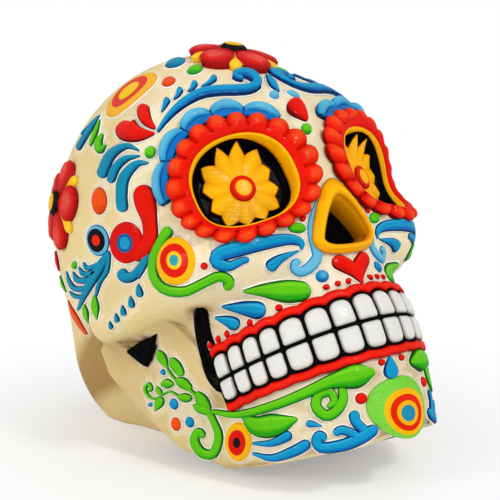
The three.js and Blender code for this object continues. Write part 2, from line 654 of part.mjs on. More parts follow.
place('upper_lip', cut(lipPatch(true), craniumSeat), 'red');
place('lower_lip', lipPatch(false), 'red');
placePair('eye_rim', eyeRim(), 'orange');
placePair('sunflower', sunflower(), 'yellow');
placePair('sunflower_button', sunflowerButton(), 'red');
placePair('brow_cloud', browCloud(), 'blue');
placePair('brow_scroll', stroke(SCROLL_PATH, SCROLL_WIDTHS, RELIEF, 20, cranium), 'blue');
place('nose_rim', noseRim(), 'yellow');
place('forehead_drop', stroke(FOREHEAD_DROP.path, FOREHEAD_DROP.widths, RELIEF, 8, cranium), 'red');

const flowerPieces = ([lon, lat]) => {
  const dir = direction(lon, lat);
  const room = solidOf(flowerLeaves(dir, SEAT_GAP, -1));
  return [['flower_leaves', flowerLeaves(dir, 0, SEAT_GAP), 'yellow'],
    ['flower_petals', cut(flowerPetals(dir), room), 'red'],
    ['flower_button', flowerButton(dir), 'yellow']];
};

for (const [name, geometry, colour] of flowerPieces(TOP_FLOWER)) place(`${name}_top`, geometry, colour);
for (const [name, geometry, colour] of flowerPieces(SIDE_FLOWER)) placePair(name, geometry, colour);

const chinPlace = direction(0, CHIN_ROUNDEL.lat);
const chinTop = (v) => CHIN_ROUNDEL.stand * (1 - 0.5 * v * v);
const roundel = rosette(chinPlace, 0, () => CHIN_ROUNDEL.r, 28, 2, chinTop, () => SEAT_GAP, jawFace);
place('chin_roundel', roundel, 'green');
placePair('jaw_leaf', jawLeaf(), 'green');

export default skull;
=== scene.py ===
# %% [markdown]
# # A painted sugar skull
# The real thing is a glossy casting for the table, as large as a human head, with a shut jaw. Teeth, eye
# rims, flowers and scrolls stand out of it in relief, and every bit of relief is painted in a bright,
# flat colour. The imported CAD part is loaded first. It fixes the size and place of each piece, and this
# file dresses it.

import bmesh
import bpy
import numpy as np
from mathutils import Matrix, Vector


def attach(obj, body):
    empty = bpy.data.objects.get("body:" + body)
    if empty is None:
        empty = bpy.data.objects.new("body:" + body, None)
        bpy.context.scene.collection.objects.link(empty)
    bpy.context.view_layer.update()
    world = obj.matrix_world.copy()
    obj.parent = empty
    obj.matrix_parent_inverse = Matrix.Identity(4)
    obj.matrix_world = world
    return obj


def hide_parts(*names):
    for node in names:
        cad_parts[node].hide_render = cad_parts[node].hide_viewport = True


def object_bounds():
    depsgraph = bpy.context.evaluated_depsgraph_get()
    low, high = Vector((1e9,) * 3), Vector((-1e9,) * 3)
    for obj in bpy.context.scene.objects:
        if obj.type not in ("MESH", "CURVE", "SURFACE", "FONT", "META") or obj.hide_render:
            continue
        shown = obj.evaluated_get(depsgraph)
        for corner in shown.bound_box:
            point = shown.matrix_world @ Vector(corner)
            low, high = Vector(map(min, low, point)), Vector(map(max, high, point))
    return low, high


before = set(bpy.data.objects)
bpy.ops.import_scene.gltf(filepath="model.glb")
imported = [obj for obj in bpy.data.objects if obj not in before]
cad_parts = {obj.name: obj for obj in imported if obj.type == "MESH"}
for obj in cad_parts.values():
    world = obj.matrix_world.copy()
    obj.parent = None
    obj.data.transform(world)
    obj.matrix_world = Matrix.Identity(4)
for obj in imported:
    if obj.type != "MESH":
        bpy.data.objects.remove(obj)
cad_box = [list(corner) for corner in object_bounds()]
print("CAD nodes:", len(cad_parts), "box:", np.round(cad_box, 4).tolist())

# %% [markdown]
# ## The head as a formula
# A skull has no flat face and no straight edge to start from. It could be sculpted by hand, but a formula
# is easier to change: each bulge is an ellipsoid, given by how far a point is outside it, and a soft
# minimum runs neighbouring bulges into each other. Nearly all the numbers are the CAD part's, in
# millimetres, in a frame that leans back with the head: x to the skull's left, y to its back and z to its
# crown.

# %% Bulges of the head
TILT = np.radians(28)
HEAD_ORIGIN = np.array([0, 19.5, 86])
CHART_CENTRE = np.array([0, -8, -12])
DOME = dict(centre=(0, 1, 1), radii=(70, 80, 85))
DOME_TAPER = dict(amount=0.24, start=-10, run=55)
BROW = dict(centre=(30, -37, 18), radii=(35, 32, 36))
CHEEK = dict(centre=(32, -44, -22), radii=(32, 29, 21))
NOSE_ROOT = dict(centre=(0, -44, -26), radii=(26, 32, 30))
MUZZLE = dict(centre=(0, -30, -64), radii=(47, 50, 52))
BASE = dict(centre=(0, HEAD_ORIGIN[1] + 36, 38), radii=(50, 42, 54))
NECK = dict(centre=(0, HEAD_ORIGIN[1] + 8, 26), radii=(36, 36, 42))
ARCH_FRONT = np.array([56, -42, -26])
ARCH_BACK = np.array([62, 10, -27])
ARCH_RADII = (9, 8)
BLENDS = dict(brow=14, cheek=12, arch=10, nose_root=12, gum=9, base=12, neck=10)
BITE_Y, BITE_Z, BITE_FALL = -80, -63, 0.08
GUM_DROP, GUM_ROUND = 3, 2


def ease(t):
    """Smooth step: 3 t squared minus 2 t cubed, held between 0 and 1."""
    t = np.clip(t, 0, 1)
    return t * t * (3 - 2 * t)


def lobe(p, centre, radii):
    """Distance outside an ellipsoid: k0 (k0 - 1) / k1, where k0 is the length of p over the radii, and k1
    its length over their squares."""
    q = (p - np.asarray(centre)) / np.asarray(radii)
    k0 = np.linalg.norm(q, axis=-1)
    k1 = np.linalg.norm(q / np.asarray(radii), axis=-1)
    return k0 * (k0 - 1) / np.maximum(k1, 1e-9)


def soft_min(a, b, k):
    """The smaller of a and b, less a rounding k h (1 - h) where the two are within k of each other."""
    h = np.clip(0.5 + 0.5 * (b - a) / k, 0, 1)
    return b * (1 - h) + a * h - k * h * (1 - h)


def turn_upright(p):
    """Skull frame to table frame: a turn by the tilt about x, then a move to the head's origin."""
    x, y, z = np.moveaxis(np.asarray(p, float), -1, 0)
    turned = [x, y * np.cos(TILT) + z * np.sin(TILT), z * np.cos(TILT) - y * np.sin(TILT)]
    return np.stack(turned, -1) + HEAD_ORIGIN


def lean_back(p):
    """Table frame to skull frame: the inverse of turn_upright."""
    x, y, z = np.moveaxis(np.asarray(p, float) - HEAD_ORIGIN, -1, 0)
    return np.stack([x, y * np.cos(TILT) - z * np.sin(TILT), z * np.cos(TILT) + y * np.sin(TILT)], -1)


def folded(p, side=1):
    """Points with both sides of the head folded on to its left one, or with side -1 on to its right
    one."""
    return np.concatenate([side * np.abs(p[..., :1]), p[..., 1:]], -1)


def cheek_arch(p):
    """Distance outside a bar with round ends that thins from its front to its back."""
    axis = ARCH_BACK - ARCH_FRONT
    t = np.clip((p - ARCH_FRONT) @ axis / (axis @ axis), 0, 1)
    nearest = ARCH_FRONT + t[..., None] * axis
    return np.linalg.norm(p - nearest, axis=-1) - np.interp(t, (0, 1), ARCH_RADII)


def bite_height(y):
    """The line between the two rows of teeth, which falls a little towards the molars."""
    return BITE_Z - BITE_FALL * (y - BITE_Y)


def cranium(p):
    """Field of the upper casting: negative inside. Every bulge is blended into the ones before it."""
    q = folded(p)
    narrow = 1 + DOME_TAPER["amount"] * ease((DOME_TAPER["start"] - q[..., 2]) / DOME_TAPER["run"])
    dome = np.stack([q[..., 0] * narrow, q[..., 1], q[..., 2]], -1)
    d = lobe(dome, **DOME)
    d = soft_min(d, lobe(q, **BROW), BLENDS["brow"])
    d = soft_min(d, lobe(q, **CHEEK), BLENDS["cheek"])
    d = soft_min(d, cheek_arch(q), BLENDS["arch"])
    d = soft_min(d, lobe(q, **NOSE_ROOT), BLENDS["nose_root"])
    over_bite = q[..., 2] - bite_height(q[..., 1]) + GUM_DROP
    d = soft_min(d, -soft_min(-lobe(q, **MUZZLE), over_bite, GUM_ROUND), BLENDS["gum"])
    upright = turn_upright(q)
    d = soft_min(d, lobe(upright, **BASE), BLENDS["base"])
    return soft_min(d, lobe(upright, **NECK), BLENDS["neck"])


print("Depth of the chart centre inside the head: %.1f mm" % -cranium(CHART_CENTRE[None])[0])

# %% [markdown]
# ## The jaw as a formula
# The jaw is a band. In front it follows half an ellipse round the teeth, behind it runs straight back and
# flares, and below the bite it leans in to the chin. A station says how far along one side a point is,
# from 0 at the chin to 1 at the condyle. The band's upper and lower edges are given at a few stations.

# %% Jaw band
JAW_FRONT = -30
JAW_BACK = 60
JAW_BEND = 0.62
JAW_HALF_WIDTH = 47
JAW_FLARE = 11
JAW_DEPTH = 50
JAW_TOP = np.array([(0.6, -67), (0.635, -62), (0.675, -38), (0.76, -34), (0.8, -40), (0.83, -47),
                    (0.87, -42), (0.9, -35), (1, -34)])
JAW_BOTTOM = np.array([(0, -108), (0.2, -108.5), (0.45, -105.8), (0.62, -103.6), (0.72, -100.5),
                       (0.82, -87.5), (0.92, -64), (1, -45)])
JAW_WALL = np.array([(0, 15), (0.5, 12), (0.7, 9), (1, 7)])
CHIN_DROP, CHIN_NARROWING, CHIN_SETBACK = 48, 0.2, 4
JAW_FIELD_SCALE = 0.8
MOUTH_END = 10
CRISP, MELT, MELT_START, MELT_RUN = 0.05, 9, -45, 20


def along(table, t):
    """Straight-line reading between the rows (key, value) of a small table."""
    return np.interp(t, table[:, 0], table[:, 1])


def jaw_breadth(y, z):
    """Half width and depth of the jaw's outline at a height. Both shrink with the square of the drop
    below the bite."""
    lean = np.maximum((bite_height(y) - z) / CHIN_DROP, 0) ** 2
    half = (JAW_HALF_WIDTH + JAW_FLARE * ease((y - JAW_FRONT) / JAW_BACK)) * (1 - CHIN_NARROWING * lean)
    return half, JAW_DEPTH - CHIN_SETBACK * lean


def jaw_face(p):
    """Field of the jaw's outer face: the length of (x / half width, forward / depth) less 1, scaled."""
    half, deep = jaw_breadth(p[..., 1], p[..., 2])
    forward = np.minimum(p[..., 1] - JAW_FRONT, 0) / deep
    return (np.hypot(p[..., 0] / half, forward) - 1) * half * JAW_FIELD_SCALE


def jaw_station(p):
    """Station of a point: its angle round the half ellipse in front, and its way back behind."""
    half, deep = jaw_breadth(p[..., 1], p[..., 2])
    angle = np.arctan2(np.abs(p[..., 0]) / half, np.maximum(JAW_FRONT - p[..., 1], 0) / deep)
    back = JAW_BEND + (1 - JAW_BEND) * np.clip((p[..., 1] - JAW_FRONT) / JAW_BACK, 0, 1)
    return np.where(p[..., 1] < JAW_FRONT, JAW_BEND * angle / (np.pi / 2), back)


def jaw_top(t, y):
    """Upper edge: the bite as far as the last tooth, then the ramus."""
    return np.where(t < JAW_TOP[0, 0], bite_height(y), along(JAW_TOP, t))


def skin(p):
    """Field of the whole head: the cut cranium and the jaw, run together softly only behind the mouth."""
    y, z = p[..., 1], p[..., 2]
    upper = np.maximum(cranium(p), np.minimum(bite_height(y) - z, MOUTH_END - y))
    t = jaw_station(p)
    jaw = np.maximum(jaw_face(p), np.maximum(z - jaw_top(t, y), along(JAW_BOTTOM, t) - z))
    return soft_min(upper, jaw, CRISP + MELT * ease((y - MELT_START) / MELT_RUN))


def jaw_point(t, z, inset):
    """Point of the jaw's outline at a station and height, moved in along the outline's normal."""
    t, z, inset = np.broadcast_arrays(t, z, inset)
    angle = np.clip(np.abs(t) / JAW_BEND, 0, 1) * np.pi / 2
    back = np.clip((np.abs(t) - JAW_BEND) / (1 - JAW_BEND), 0, 1) * JAW_BACK
    y = JAW_FRONT - JAW_DEPTH * np.cos(angle) + back
    half, deep = jaw_breadth(y, z)
    out = np.stack([np.sin(angle) / half, -np.cos(angle) / deep], -1)
    out = out / np.linalg.norm(out, axis=-1, keepdims=True)
    x = half * np.sin(angle) - inset * out[..., 0]
    y = JAW_FRONT - deep * np.cos(angle) + back - inset * out[..., 1]
    return np.stack([x * np.sign(t + 1e-9), y, z], -1)


print("Jaw from chin to condyle: %.0f mm" % np.linalg.norm(jaw_point(0, -100, 0) - jaw_point(1, -45, 0)))

# %% [markdown]
# ## Rays, and the photographer's place
# Much of the ornament is easiest to place as the eye sees it. The camera's place is worked out once, and
# a point of the picture then becomes a ray. Where the ray first meets the formula's surface, the paint
# goes. The same search, started from inside the head, gives the surface itself.

# %% Rays
VIEW_AZIMUTH = np.radians(-40)
VIEW_HEIGHT = np.radians(9.5)
VIEW_DISTANCE = 500.0
VIEW_TARGET = np.array([0, -2.5, 85])
PICTURE_SIZE = 500
FOCAL_PIXELS = 1130.0
PIXELS_PER_MM = FOCAL_PIXELS / VIEW_DISTANCE
RAY_SEARCH = dict(start=370, stop=610, marks=80)
HALVINGS, SETTLING_STEPS = 16, 2

view_back = np.array([np.sin(VIEW_AZIMUTH) * np.cos(VIEW_HEIGHT),
                      -np.cos(VIEW_AZIMUTH) * np.cos(VIEW_HEIGHT),
                      np.sin(VIEW_HEIGHT)])
view_right = np.cross(-view_back, (0, 0, 1))
view_right = view_right / np.linalg.norm(view_right)
view_up = np.cross(view_right, -view_back)
view_place = VIEW_TARGET + VIEW_DISTANCE * view_back


def unit(v):
    """Vectors divided by their lengths."""
    return v / np.linalg.norm(v, axis=-1, keepdims=True)


def normal_of(p, field):
    """Outward normal: the field's change over a millimetre along x, y and z, made a unit vector."""
    steps = 0.5 * np.eye(3)
    return unit(np.stack([field(p + step) - field(p - step) for step in steps], -1))


def crossing(origin, direction, field, start, stop, marks):
    """Distance along each ray to the field's first change of sign: even marks, then halving. A miss gives
    the mark where the field is smallest."""
    far = np.linspace(start, stop, marks)
    values = field(origin[..., None, :] + direction[..., None, :] * far[:, None])
    changed = (values < 0) != (values[..., :1] < 0)
    hit = changed.any(-1)
    first = np.where(hit, np.argmax(changed, -1), np.maximum(np.argmin(values, -1), 1))
    low, high = far[first - 1], far[first]
    began_inside = values[..., 0] < 0
    for _ in range(HALVINGS):
        middle = (low + high) / 2
        same = (field(origin + direction * middle[..., None]) < 0) == began_inside
        low = np.where(same, middle, low)
        high = np.where(same, high, middle)
    return (low + high) / 2


def under_pixels(pixels, field):
    """Points of the surface that the picture shows at these pixels, in the skull frame."""
    pixels = np.asarray(pixels, float)
    across = pixels[..., :1] - PICTURE_SIZE / 2
    down = PICTURE_SIZE / 2 - pixels[..., 1:2]
    ray = unit(-view_back * FOCAL_PIXELS + view_right * across + view_up * down)
    start = np.broadcast_to(lean_back(view_place), ray.shape)
    heading = lean_back(ray + HEAD_ORIGIN)
    p = start + heading * crossing(start, heading, field, **RAY_SEARCH)[..., None]
    for _ in range(SETTLING_STEPS):
        p = p - normal_of(p, field) * field(p)[..., None]
    return p


print("Camera stands at", np.round(view_place / 1000, 3).tolist(), "m")

# %% [markdown]
# ## Two black hollows
# A slit runs down between the cheek and the jaw to the last tooth, and a three-cornered notch lies under
# the cheek arch. Cutting them out of the mesh would leave ragged edges. Each is a round-bottomed groove
# along a path instead, which only moves points inwards. A black lining with a crisp edge of its own then
# covers it.

# %% Slit and notch
SLIT_PIXELS = [(200, 311), (203, 332), (208.5, 352), (217, 374), (226, 391)]
SLIT_WIDTHS = [4.6, 5.6, 6.8, 8.4, 5]
NOTCH_PIXELS = [(128, 351), (156.5, 334.5), (147.5, 366)]
SLIT_RADIUS = 2.9
NOTCH_RADIUS = 3.4
NOTCH_SHARE = 0.35
GROOVE_DEPTH = 6.0

slit_path = under_pixels(SLIT_PIXELS, skin)
notch_middle = np.mean(NOTCH_PIXELS, axis=0)
notch_loop = np.array(NOTCH_PIXELS)[[0, 1, 2, 0]]
notch_path = under_pixels(NOTCH_SHARE * notch_loop + (1 - NOTCH_SHARE) * notch_middle, skin)
hollow_paths = ((slit_path, SLIT_RADIUS), (notch_path, NOTCH_RADIUS))


def path_distance(p, path):
    """Distance to the nearest of a path's straight parts, on either side of the head."""
    q = folded(p, -1)
    nearest = np.full(q.shape[:-1], np.inf)
    for a, b in zip(path[:-1], path[1:]):
        t = np.clip((q - a) @ (b - a) / ((b - a) @ (b - a)), 0, 1)
        nearest = np.minimum(nearest, np.linalg.norm(q - a - t[..., None] * (b - a), axis=-1))
    return nearest


def groove_depth(p):
    """Depth of the hollows at a point of the skin: the full depth times the root of 1 - (d / r) squared,
    where d is the distance from the path and r the hollow's radius."""
    shares = [path_distance(p, path) / radius for path, radius in hollow_paths]
    return GROOVE_DEPTH * np.sqrt(np.clip(1 - np.min(shares, axis=0) ** 2, 0, 1))


def face_under(pixels, field):
    """Points under the picture's pixels, and the skin's normals there."""
    foot = under_pixels(pixels, field)
    return foot, normal_of(foot, field)


print("Slit: %.0f mm long" % np.linalg.norm(np.diff(slit_path, axis=0), axis=-1).sum())

# %% [markdown]
# ## From a grid of points to a piece
# Every piece here is one or more grids: a row for each step along the piece, a column for each step round
# it. The columns always close on themselves. The rows either close too, as on a ring, or draw together to
# a point at both ends, so that each piece is a closed skin. The grid's own two parameters become its UV
# map, which the paint then follows.

# %% Pieces from grids
MERGE_REACH, SHORTEST_EDGE = 2e-6, 1e-7
made_pieces = {}


def grid_faces(rows, columns, ring):
    """Quads between neighbouring rows and columns, the columns closed and the rows closed on a ring."""
    i = np.arange(rows if ring else rows - 1)[:, None]
    j = np.arange(columns)[None, :]
    corners = [(i, j), (i + 1, j), (i + 1, j + 1), (i, j + 1)]
    return np.stack([(a % rows) * columns + b % columns for a, b in corners], -1).reshape(-1, 4)


def full_turn(steps):
    """Even angles round a circle, the last one a step short of the first."""
    return np.linspace(0, 2 * np.pi, steps, endpoint=False)


def uv_of(way, paint):
    """UV map of a grid: the way along or round the piece, and the paint value."""
    return np.stack(np.broadcast_arrays(way, paint), -1)


def drawn_to_points(grid):
    """The grid with its first row and its last row each drawn together to one point, the row's mean."""
    grid[0], grid[-1] = grid[0].mean(0), grid[-1].mean(0)
    return grid


def strip(columns):
    """Places across a strip, from 0 to 1 over its face and back under it, and which of them are
    hidden."""
    across = np.concatenate([np.linspace(0, 1, columns), [0.9, 0.1]])[None]
    return across, np.arange(columns + 2)[None] >= columns


def make_piece(name, patches, material, nodes=()):
    """One object from grids (points in the skull frame, uv, ring), with doubled points merged and faces
    outwards. Points are kept within the CAD part's box."""
    points, maps, faces, count = [], [], [], 0
    for grid, uv, ring in patches:
        faces.append(grid_faces(grid.shape[0], grid.shape[1], ring) + count)
        points.append(np.clip(turn_upright(grid).reshape(-1, 3) / 1000, *cad_box))
        maps.append(np.broadcast_to(uv, grid.shape[:2] + (2,)).reshape(-1, 2))
        count += len(points[-1])
    points, maps, faces = np.concatenate(points), np.concatenate(maps), np.concatenate(faces)
    mesh = bpy.data.meshes.new(name)
    mesh.from_pydata(points.tolist(), [], faces.tolist())
    mesh.uv_layers.new(name="UVMap").data.foreach_set("uv", maps[faces.ravel()].ravel())
    shape = bmesh.new()
    shape.from_mesh(mesh)
    bmesh.ops.remove_doubles(shape, verts=shape.verts, dist=MERGE_REACH)
    bmesh.ops.dissolve_degenerate(shape, edges=shape.edges, dist=SHORTEST_EDGE)
    bmesh.ops.recalc_face_normals(shape, faces=shape.faces)
    shape.to_mesh(mesh)
    shape.free()
    mesh.shade_smooth()
    mesh.materials.append(material)
    piece = bpy.data.objects.new(name, mesh)
    bpy.context.scene.collection.objects.link(piece)
    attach(piece, "root")
    if nodes:
        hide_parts(*nodes)
    made_pieces[name] = len(mesh.polygons)
    print(name, "faces:", len(mesh.polygons))
    return piece


def mirrored(patches):
    """The same grids on the other side of the head: x changes its sign."""
    return [(grid * np.array([-1, 1, 1]), uv, ring) for grid, uv, ring in patches]


def make_pair(name, patches, material, is_node=True):
    """A piece on the skull's right side and its mirror image on the left one."""
    for side, grids in (("right", patches), ("left", mirrored(patches))):
        label = f"{name}_{side}"
        make_piece(label, grids, material, (label,) if is_node else ())


print("A closed ring of 3 by 4 points has", len(grid_faces(3, 4, True)), "faces")

# %% [markdown]
# ## Paint
# All the colours are hand paint under one clear varnish. Flat colour would look like plastic, so one node
# group adds what a brush leaves: streaks along the stroke, small blotches, and a little relief. Each
# paint mixes its own colours first, by the UV map, and passes them through that group. The varnish is the
# shader's coat.

# %% Brush work, shared by every paint
GLOSS_ROUGHNESS = 0.38
GLOSS_LEVEL = 0.0
COAT_WEIGHT = 0.13
COAT_ROUGHNESS = 0.08
BLACK_COAT = 0.03
STREAK_STRETCH = (120, 160, 420)
STREAK_SCALE, STREAK_DETAIL, BLOTCH_SCALE = 1.6, 3, 95
RELIEF_STRENGTH, RELIEF_HEIGHT = 0.5, 0.0008
PALE = "fbf5e4"


def linear(code):
    """A colour written as six hexadecimal digits, as the linear values that shaders use."""
    s = np.array([int(code[i:i + 2], 16) for i in (0, 2, 4)]) / 255
    return (*np.where(s <= 0.04045, s / 12.92, ((s + 0.055) / 1.055) ** 2.4), 1.0)


def put(tree, kind, **settings):
    """A new node with its properties set."""
    node = tree.nodes.new(kind)
    for key, value in settings.items():
        setattr(node, key, value)
    return node


def build_brush_group():
    """Group: colour in, colour out with streaks and blotches, and a height for bump."""
    group = bpy.data.node_groups.new("brush_work", "ShaderNodeTree")
    for label, kind, way in (("Color", "NodeSocketColor", "INPUT"),
                             ("Streaks", "NodeSocketFloat", "INPUT"),
                             ("Color", "NodeSocketColor", "OUTPUT"),
                             ("Height", "NodeSocketFloat", "OUTPUT")):
        group.interface.new_socket(label, in_out=way, socket_type=kind)
    start, end = put(group, "NodeGroupInput"), put(group, "NodeGroupOutput")
    place = put(group, "ShaderNodeTexCoord")
    stretch = put(group, "ShaderNodeMapping")
    stretch.inputs["Scale"].default_value = STREAK_STRETCH
    streaks = put(group, "ShaderNodeTexNoise")
    streaks.inputs["Scale"].default_value = STREAK_SCALE
    streaks.inputs["Detail"].default_value = STREAK_DETAIL
    blotches = put(group, "ShaderNodeTexNoise")
    blotches.inputs["Scale"].default_value = BLOTCH_SCALE
    both = put(group, "ShaderNodeMath", operation="ADD")
    centred = put(group, "ShaderNodeMath", operation="SUBTRACT")
    centred.inputs[1].default_value = 1.0
    amount = put(group, "ShaderNodeMath", operation="MULTIPLY")
    bright = put(group, "ShaderNodeMath", operation="ADD")
    bright.inputs[1].default_value = 1.0
    tint = put(group, "ShaderNodeVectorMath", operation="SCALE")
    link = group.links.new
    link(place.outputs["Object"], stretch.inputs["Vector"])
    link(stretch.outputs["Vector"], streaks.inputs["Vector"])
    link(place.outputs["Object"], blotches.inputs["Vector"])
    link(streaks.outputs["Fac"], both.inputs[0])
    link(blotches.outputs["Fac"], both.inputs[1])
    link(both.outputs[0], centred.inputs[0])
    link(centred.outputs[0], amount.inputs[0])
    link(start.outputs["Streaks"], amount.inputs[1])
    link(amount.outputs[0], bright.inputs[0])
    link(start.outputs["Color"], tint.inputs[0])
    link(bright.outputs[0], tint.inputs["Scale"])
    link(tint.outputs["Vector"], end.inputs["Color"])
    link(streaks.outputs["Fac"], end.inputs["Height"])
    return group


brush_group = build_brush_group()


def start_paint(name, streaks, coat=COAT_WEIGHT):
    """A varnished material with brush work in it. Gives the material, its tree and its colour's
    socket."""
    material = bpy.data.materials.new(name)
    material.use_nodes = True
    tree = material.node_tree
    shader = tree.nodes["Principled BSDF"]
    shader.inputs["Roughness"].default_value = GLOSS_ROUGHNESS
    shader.inputs["Specular IOR Level"].default_value = GLOSS_LEVEL
    shader.inputs["Coat Weight"].default_value = coat
    shader.inputs["Coat Roughness"].default_value = COAT_ROUGHNESS
    brush = put(tree, "ShaderNodeGroup", node_tree=brush_group)
    brush.inputs["Streaks"].default_value = streaks
    bump = put(tree, "ShaderNodeBump")
    bump.inputs["Strength"].default_value = RELIEF_STRENGTH
    bump.inputs["Distance"].default_value = RELIEF_HEIGHT
    tree.links.new(brush.outputs["Color"], shader.inputs["Base Color"])
    tree.links.new(brush.outputs["Height"], bump.inputs["Height"])
    tree.links.new(bump.outputs["Normal"], shader.inputs["Normal"])
    tree.links.new(bump.outputs["Normal"], shader.inputs["Coat Normal"])
    return material, tree, brush.inputs["Color"]


def ramp_paint(name, stops, streaks=0.25, sharp=False, coat=COAT_WEIGHT):
    """Paint whose colour runs through stops (place, colour) by the paint value in the UV map."""
    material, tree, colour = start_paint(name, streaks, coat)
    uv = put(tree, "ShaderNodeUVMap", uv_map="UVMap")
    parts = put(tree, "ShaderNodeSeparateXYZ")
    ramp = put(tree, "ShaderNodeValToRGB")
    ramp.color_ramp.interpolation = "CONSTANT" if sharp else "LINEAR"
    marks = ramp.color_ramp.elements
    while len(marks) < len(stops):
        marks.new(0.5)
    for mark, (place, code) in zip(marks, stops):
        mark.position = place
        mark.color = linear(code)
    tree.links.new(uv.outputs["UV"], parts.inputs["Vector"])
    tree.links.new(parts.outputs["Y"], ramp.inputs["Fac"])
    tree.links.new(ramp.outputs["Color"], colour)
    return material


def stroke_paint(name, outline, deep, main, light):
    """Paint for a stroke: a pale line and a dark outline round it, then from a deep lower side to a light
    upper one. The deep lower side is painted shade and the light upper one painted light, over two
    tones of the paint."""
    stops = [(0, PALE), (0.03, PALE), (0.06, outline), (0.13, outline), (0.25, deep), (0.36, deep)]
    return ramp_paint(name, stops + [(0.52, main), (0.72, main), (1, light)])


# In each stroke paint the deep colour is painted shade on the lower side and the light colour painted light
# on the upper one, over two tones of the paint.
blue_paint = stroke_paint("blue_paint", "062a5c", "0466ac", "0a92c2", "4cb4d8")
teal_paint = stroke_paint("teal_paint", "0a3454", "07709c", "0a8aac", "3aa8c6")
green_paint = stroke_paint("green_paint", "1c5a0e", "22a010", "5cc010", "8ed62c")
red_paint = stroke_paint("red_paint", "6a0804", "c80a00", "e41200", "f03a10")
orange_paint = stroke_paint("orange_paint", "a82a06", "e04404", "f05006", "f46c14")
print("Paints:", len(bpy.data.materials))

# %% [markdown]
# ## Relief laid on the skin
# Two shapes give nearly all the smaller ornament. A stroke is a path with a width at each of its points,
# raised to a flat top with round edges. An oval is a low dome, just as flat on top. Both are drawn in the
# picture's own plane, then sent along the rays to the skin and raised along its normals. A hidden back
# under each shape closes it. The painter has left a thin pale line round most of them. Within a dark
# edge, each is darker on its lower side and lighter on its upper one: two tones of the paint, with
# painted shade below and painted light above.

# %% Strokes and ovals
STROKE_STEPS = 34
STROKE_STAND = 1.1
ACROSS = np.array([-1, -1, -1, -0.9, -0.7, -0.35, 0, 0.35, 0.7, 0.9, 1, 1, 1])
SKIRT = np.array([-1, -0.2, 0, 0, 0, 0, 0, 0, 0, 0, 0, 0.2, 1])
DISC_STEPS = 40
DISC_SKIRT = np.array([0.2, 1])
SKIRT_PIXELS = 1.7
SKIRT_LIFT, SKIRT_FALL = 0.3, 0.8
THINNEST = 0.3
BACK_SHARE = 0.3
OUTLINE_PIXELS = 1.3
OUTLINE_TONE, DEEPEST_TONE = 0.1, 0.16
FACE_SHARE = 0.94
HIDDEN_BACK = -0.9


def tone_of(upward):
    """Paint value inside a stroke's outline, from its lower side at -1 to its upper side at 1: painted
    shade below and painted light above, over two tones of the paint.
    """
    return DEEPEST_TONE + (1 - DEEPEST_TONE) * (0.5 + 0.5 * np.clip(upward, -1, 1))


def smooth_path(points, places):
    """Catmull-Rom curve through the points, read at places from 0 to 1."""
    p = np.asarray(points, float)
    p = np.concatenate([2 * p[:1] - p[1:2], p, 2 * p[-1:] - p[-2:-1]])
    t = places * (len(p) - 3)
    i = np.minimum(t.astype(int), len(p) - 4)
    f = (t - i)[:, None]
    a, b, c, d = p[i], p[i + 1], p[i + 2], p[i + 3]
    bend, twist = 2 * a - 5 * b + 4 * c - d, 3 * b - a - 3 * c + d
    return 0.5 * (2 * b + (c - a) * f + bend * f ** 2 + twist * f ** 3)


def stroke(path, widths, stand=STROKE_STAND, field=skin, trough=0.0, onto=face_under):
    """A raised stroke. Half width: the given one times a circle's edge near each end. Height: the stand
    times (1 - s to the eighth) across, lower where the stroke is thin. A trough takes (1 - s squared)
    squared off it. A low skirt goes all round, with one more row at each end. The mapping onto lays
    picture points on the skin."""
    places = 0.5 - 0.5 * np.cos(np.linspace(0, np.pi, STROKE_STEPS))
    middle = smooth_path(path, places)
    width = np.maximum(smooth_path(np.stack([widths, widths], -1), places)[:, 0], THINNEST) * PIXELS_PER_MM
    run = np.concatenate([[0], np.cumsum(np.linalg.norm(np.diff(middle, axis=0), axis=-1))])
    for gone, end_width in ((run, width[0]), (run[-1] - run, width[-1])):
        width = width * np.sqrt(1 - (1 - np.clip(gone / (end_width / 2), 0, 1)) ** 2)
    heading = np.pad(unit(np.gradient(middle, axis=0) + 1e-9), ((1, 1), (0, 0)), mode="edge")
    middle = np.pad(middle, ((1, 1), (0, 0)), mode="edge")
    middle[0] -= SKIRT_PIXELS * heading[0]
    middle[-1] += SKIRT_PIXELS * heading[-1]
    width = np.pad(width, 1)[:, None]
    side = np.stack([-heading[:, 1], heading[:, 0]], -1)
    back = BACK_SHARE * width
    offset = np.concatenate([width * ACROSS / 2 + SKIRT_PIXELS * SKIRT, back, -back], 1)
    low = np.sqrt(width / width.max())
    relief = low * (stand * (1 - ACROSS ** 8) - trough * (1 - ACROSS ** 2) ** 2)
    hidden = np.full((len(width), 2), HIDDEN_BACK - trough)
    height = np.concatenate([relief + SKIRT_LIFT * (1 - SKIRT_FALL * np.abs(SKIRT)), hidden], 1)
    foot, out = onto(middle[:, None] + side[:, None] * offset[..., None], field)
    grid = drawn_to_points(foot + out * height[..., None])
    to_end = np.pad(np.clip(np.minimum(run, run[-1] - run) / OUTLINE_PIXELS, 0, 1), 1)[:, None]
    # Lighter towards the picture's upper side and darker towards its lower one: painted light and shade
    # over the stroke's two tones.
    tone = OUTLINE_TONE + (tone_of(-ACROSS * side[:, 1:2]) - OUTLINE_TONE) * to_end
    paint = np.where(np.abs(ACROSS) < 0.8, tone, np.where(SKIRT == 0, OUTLINE_TONE, 0))
    paint[0], paint[-1] = 0, 0
    paint = np.pad(paint, ((0, 0), (0, 2)))
    return [(grid, uv_of(np.linspace(0, 1, len(width))[:, None], paint), False)]


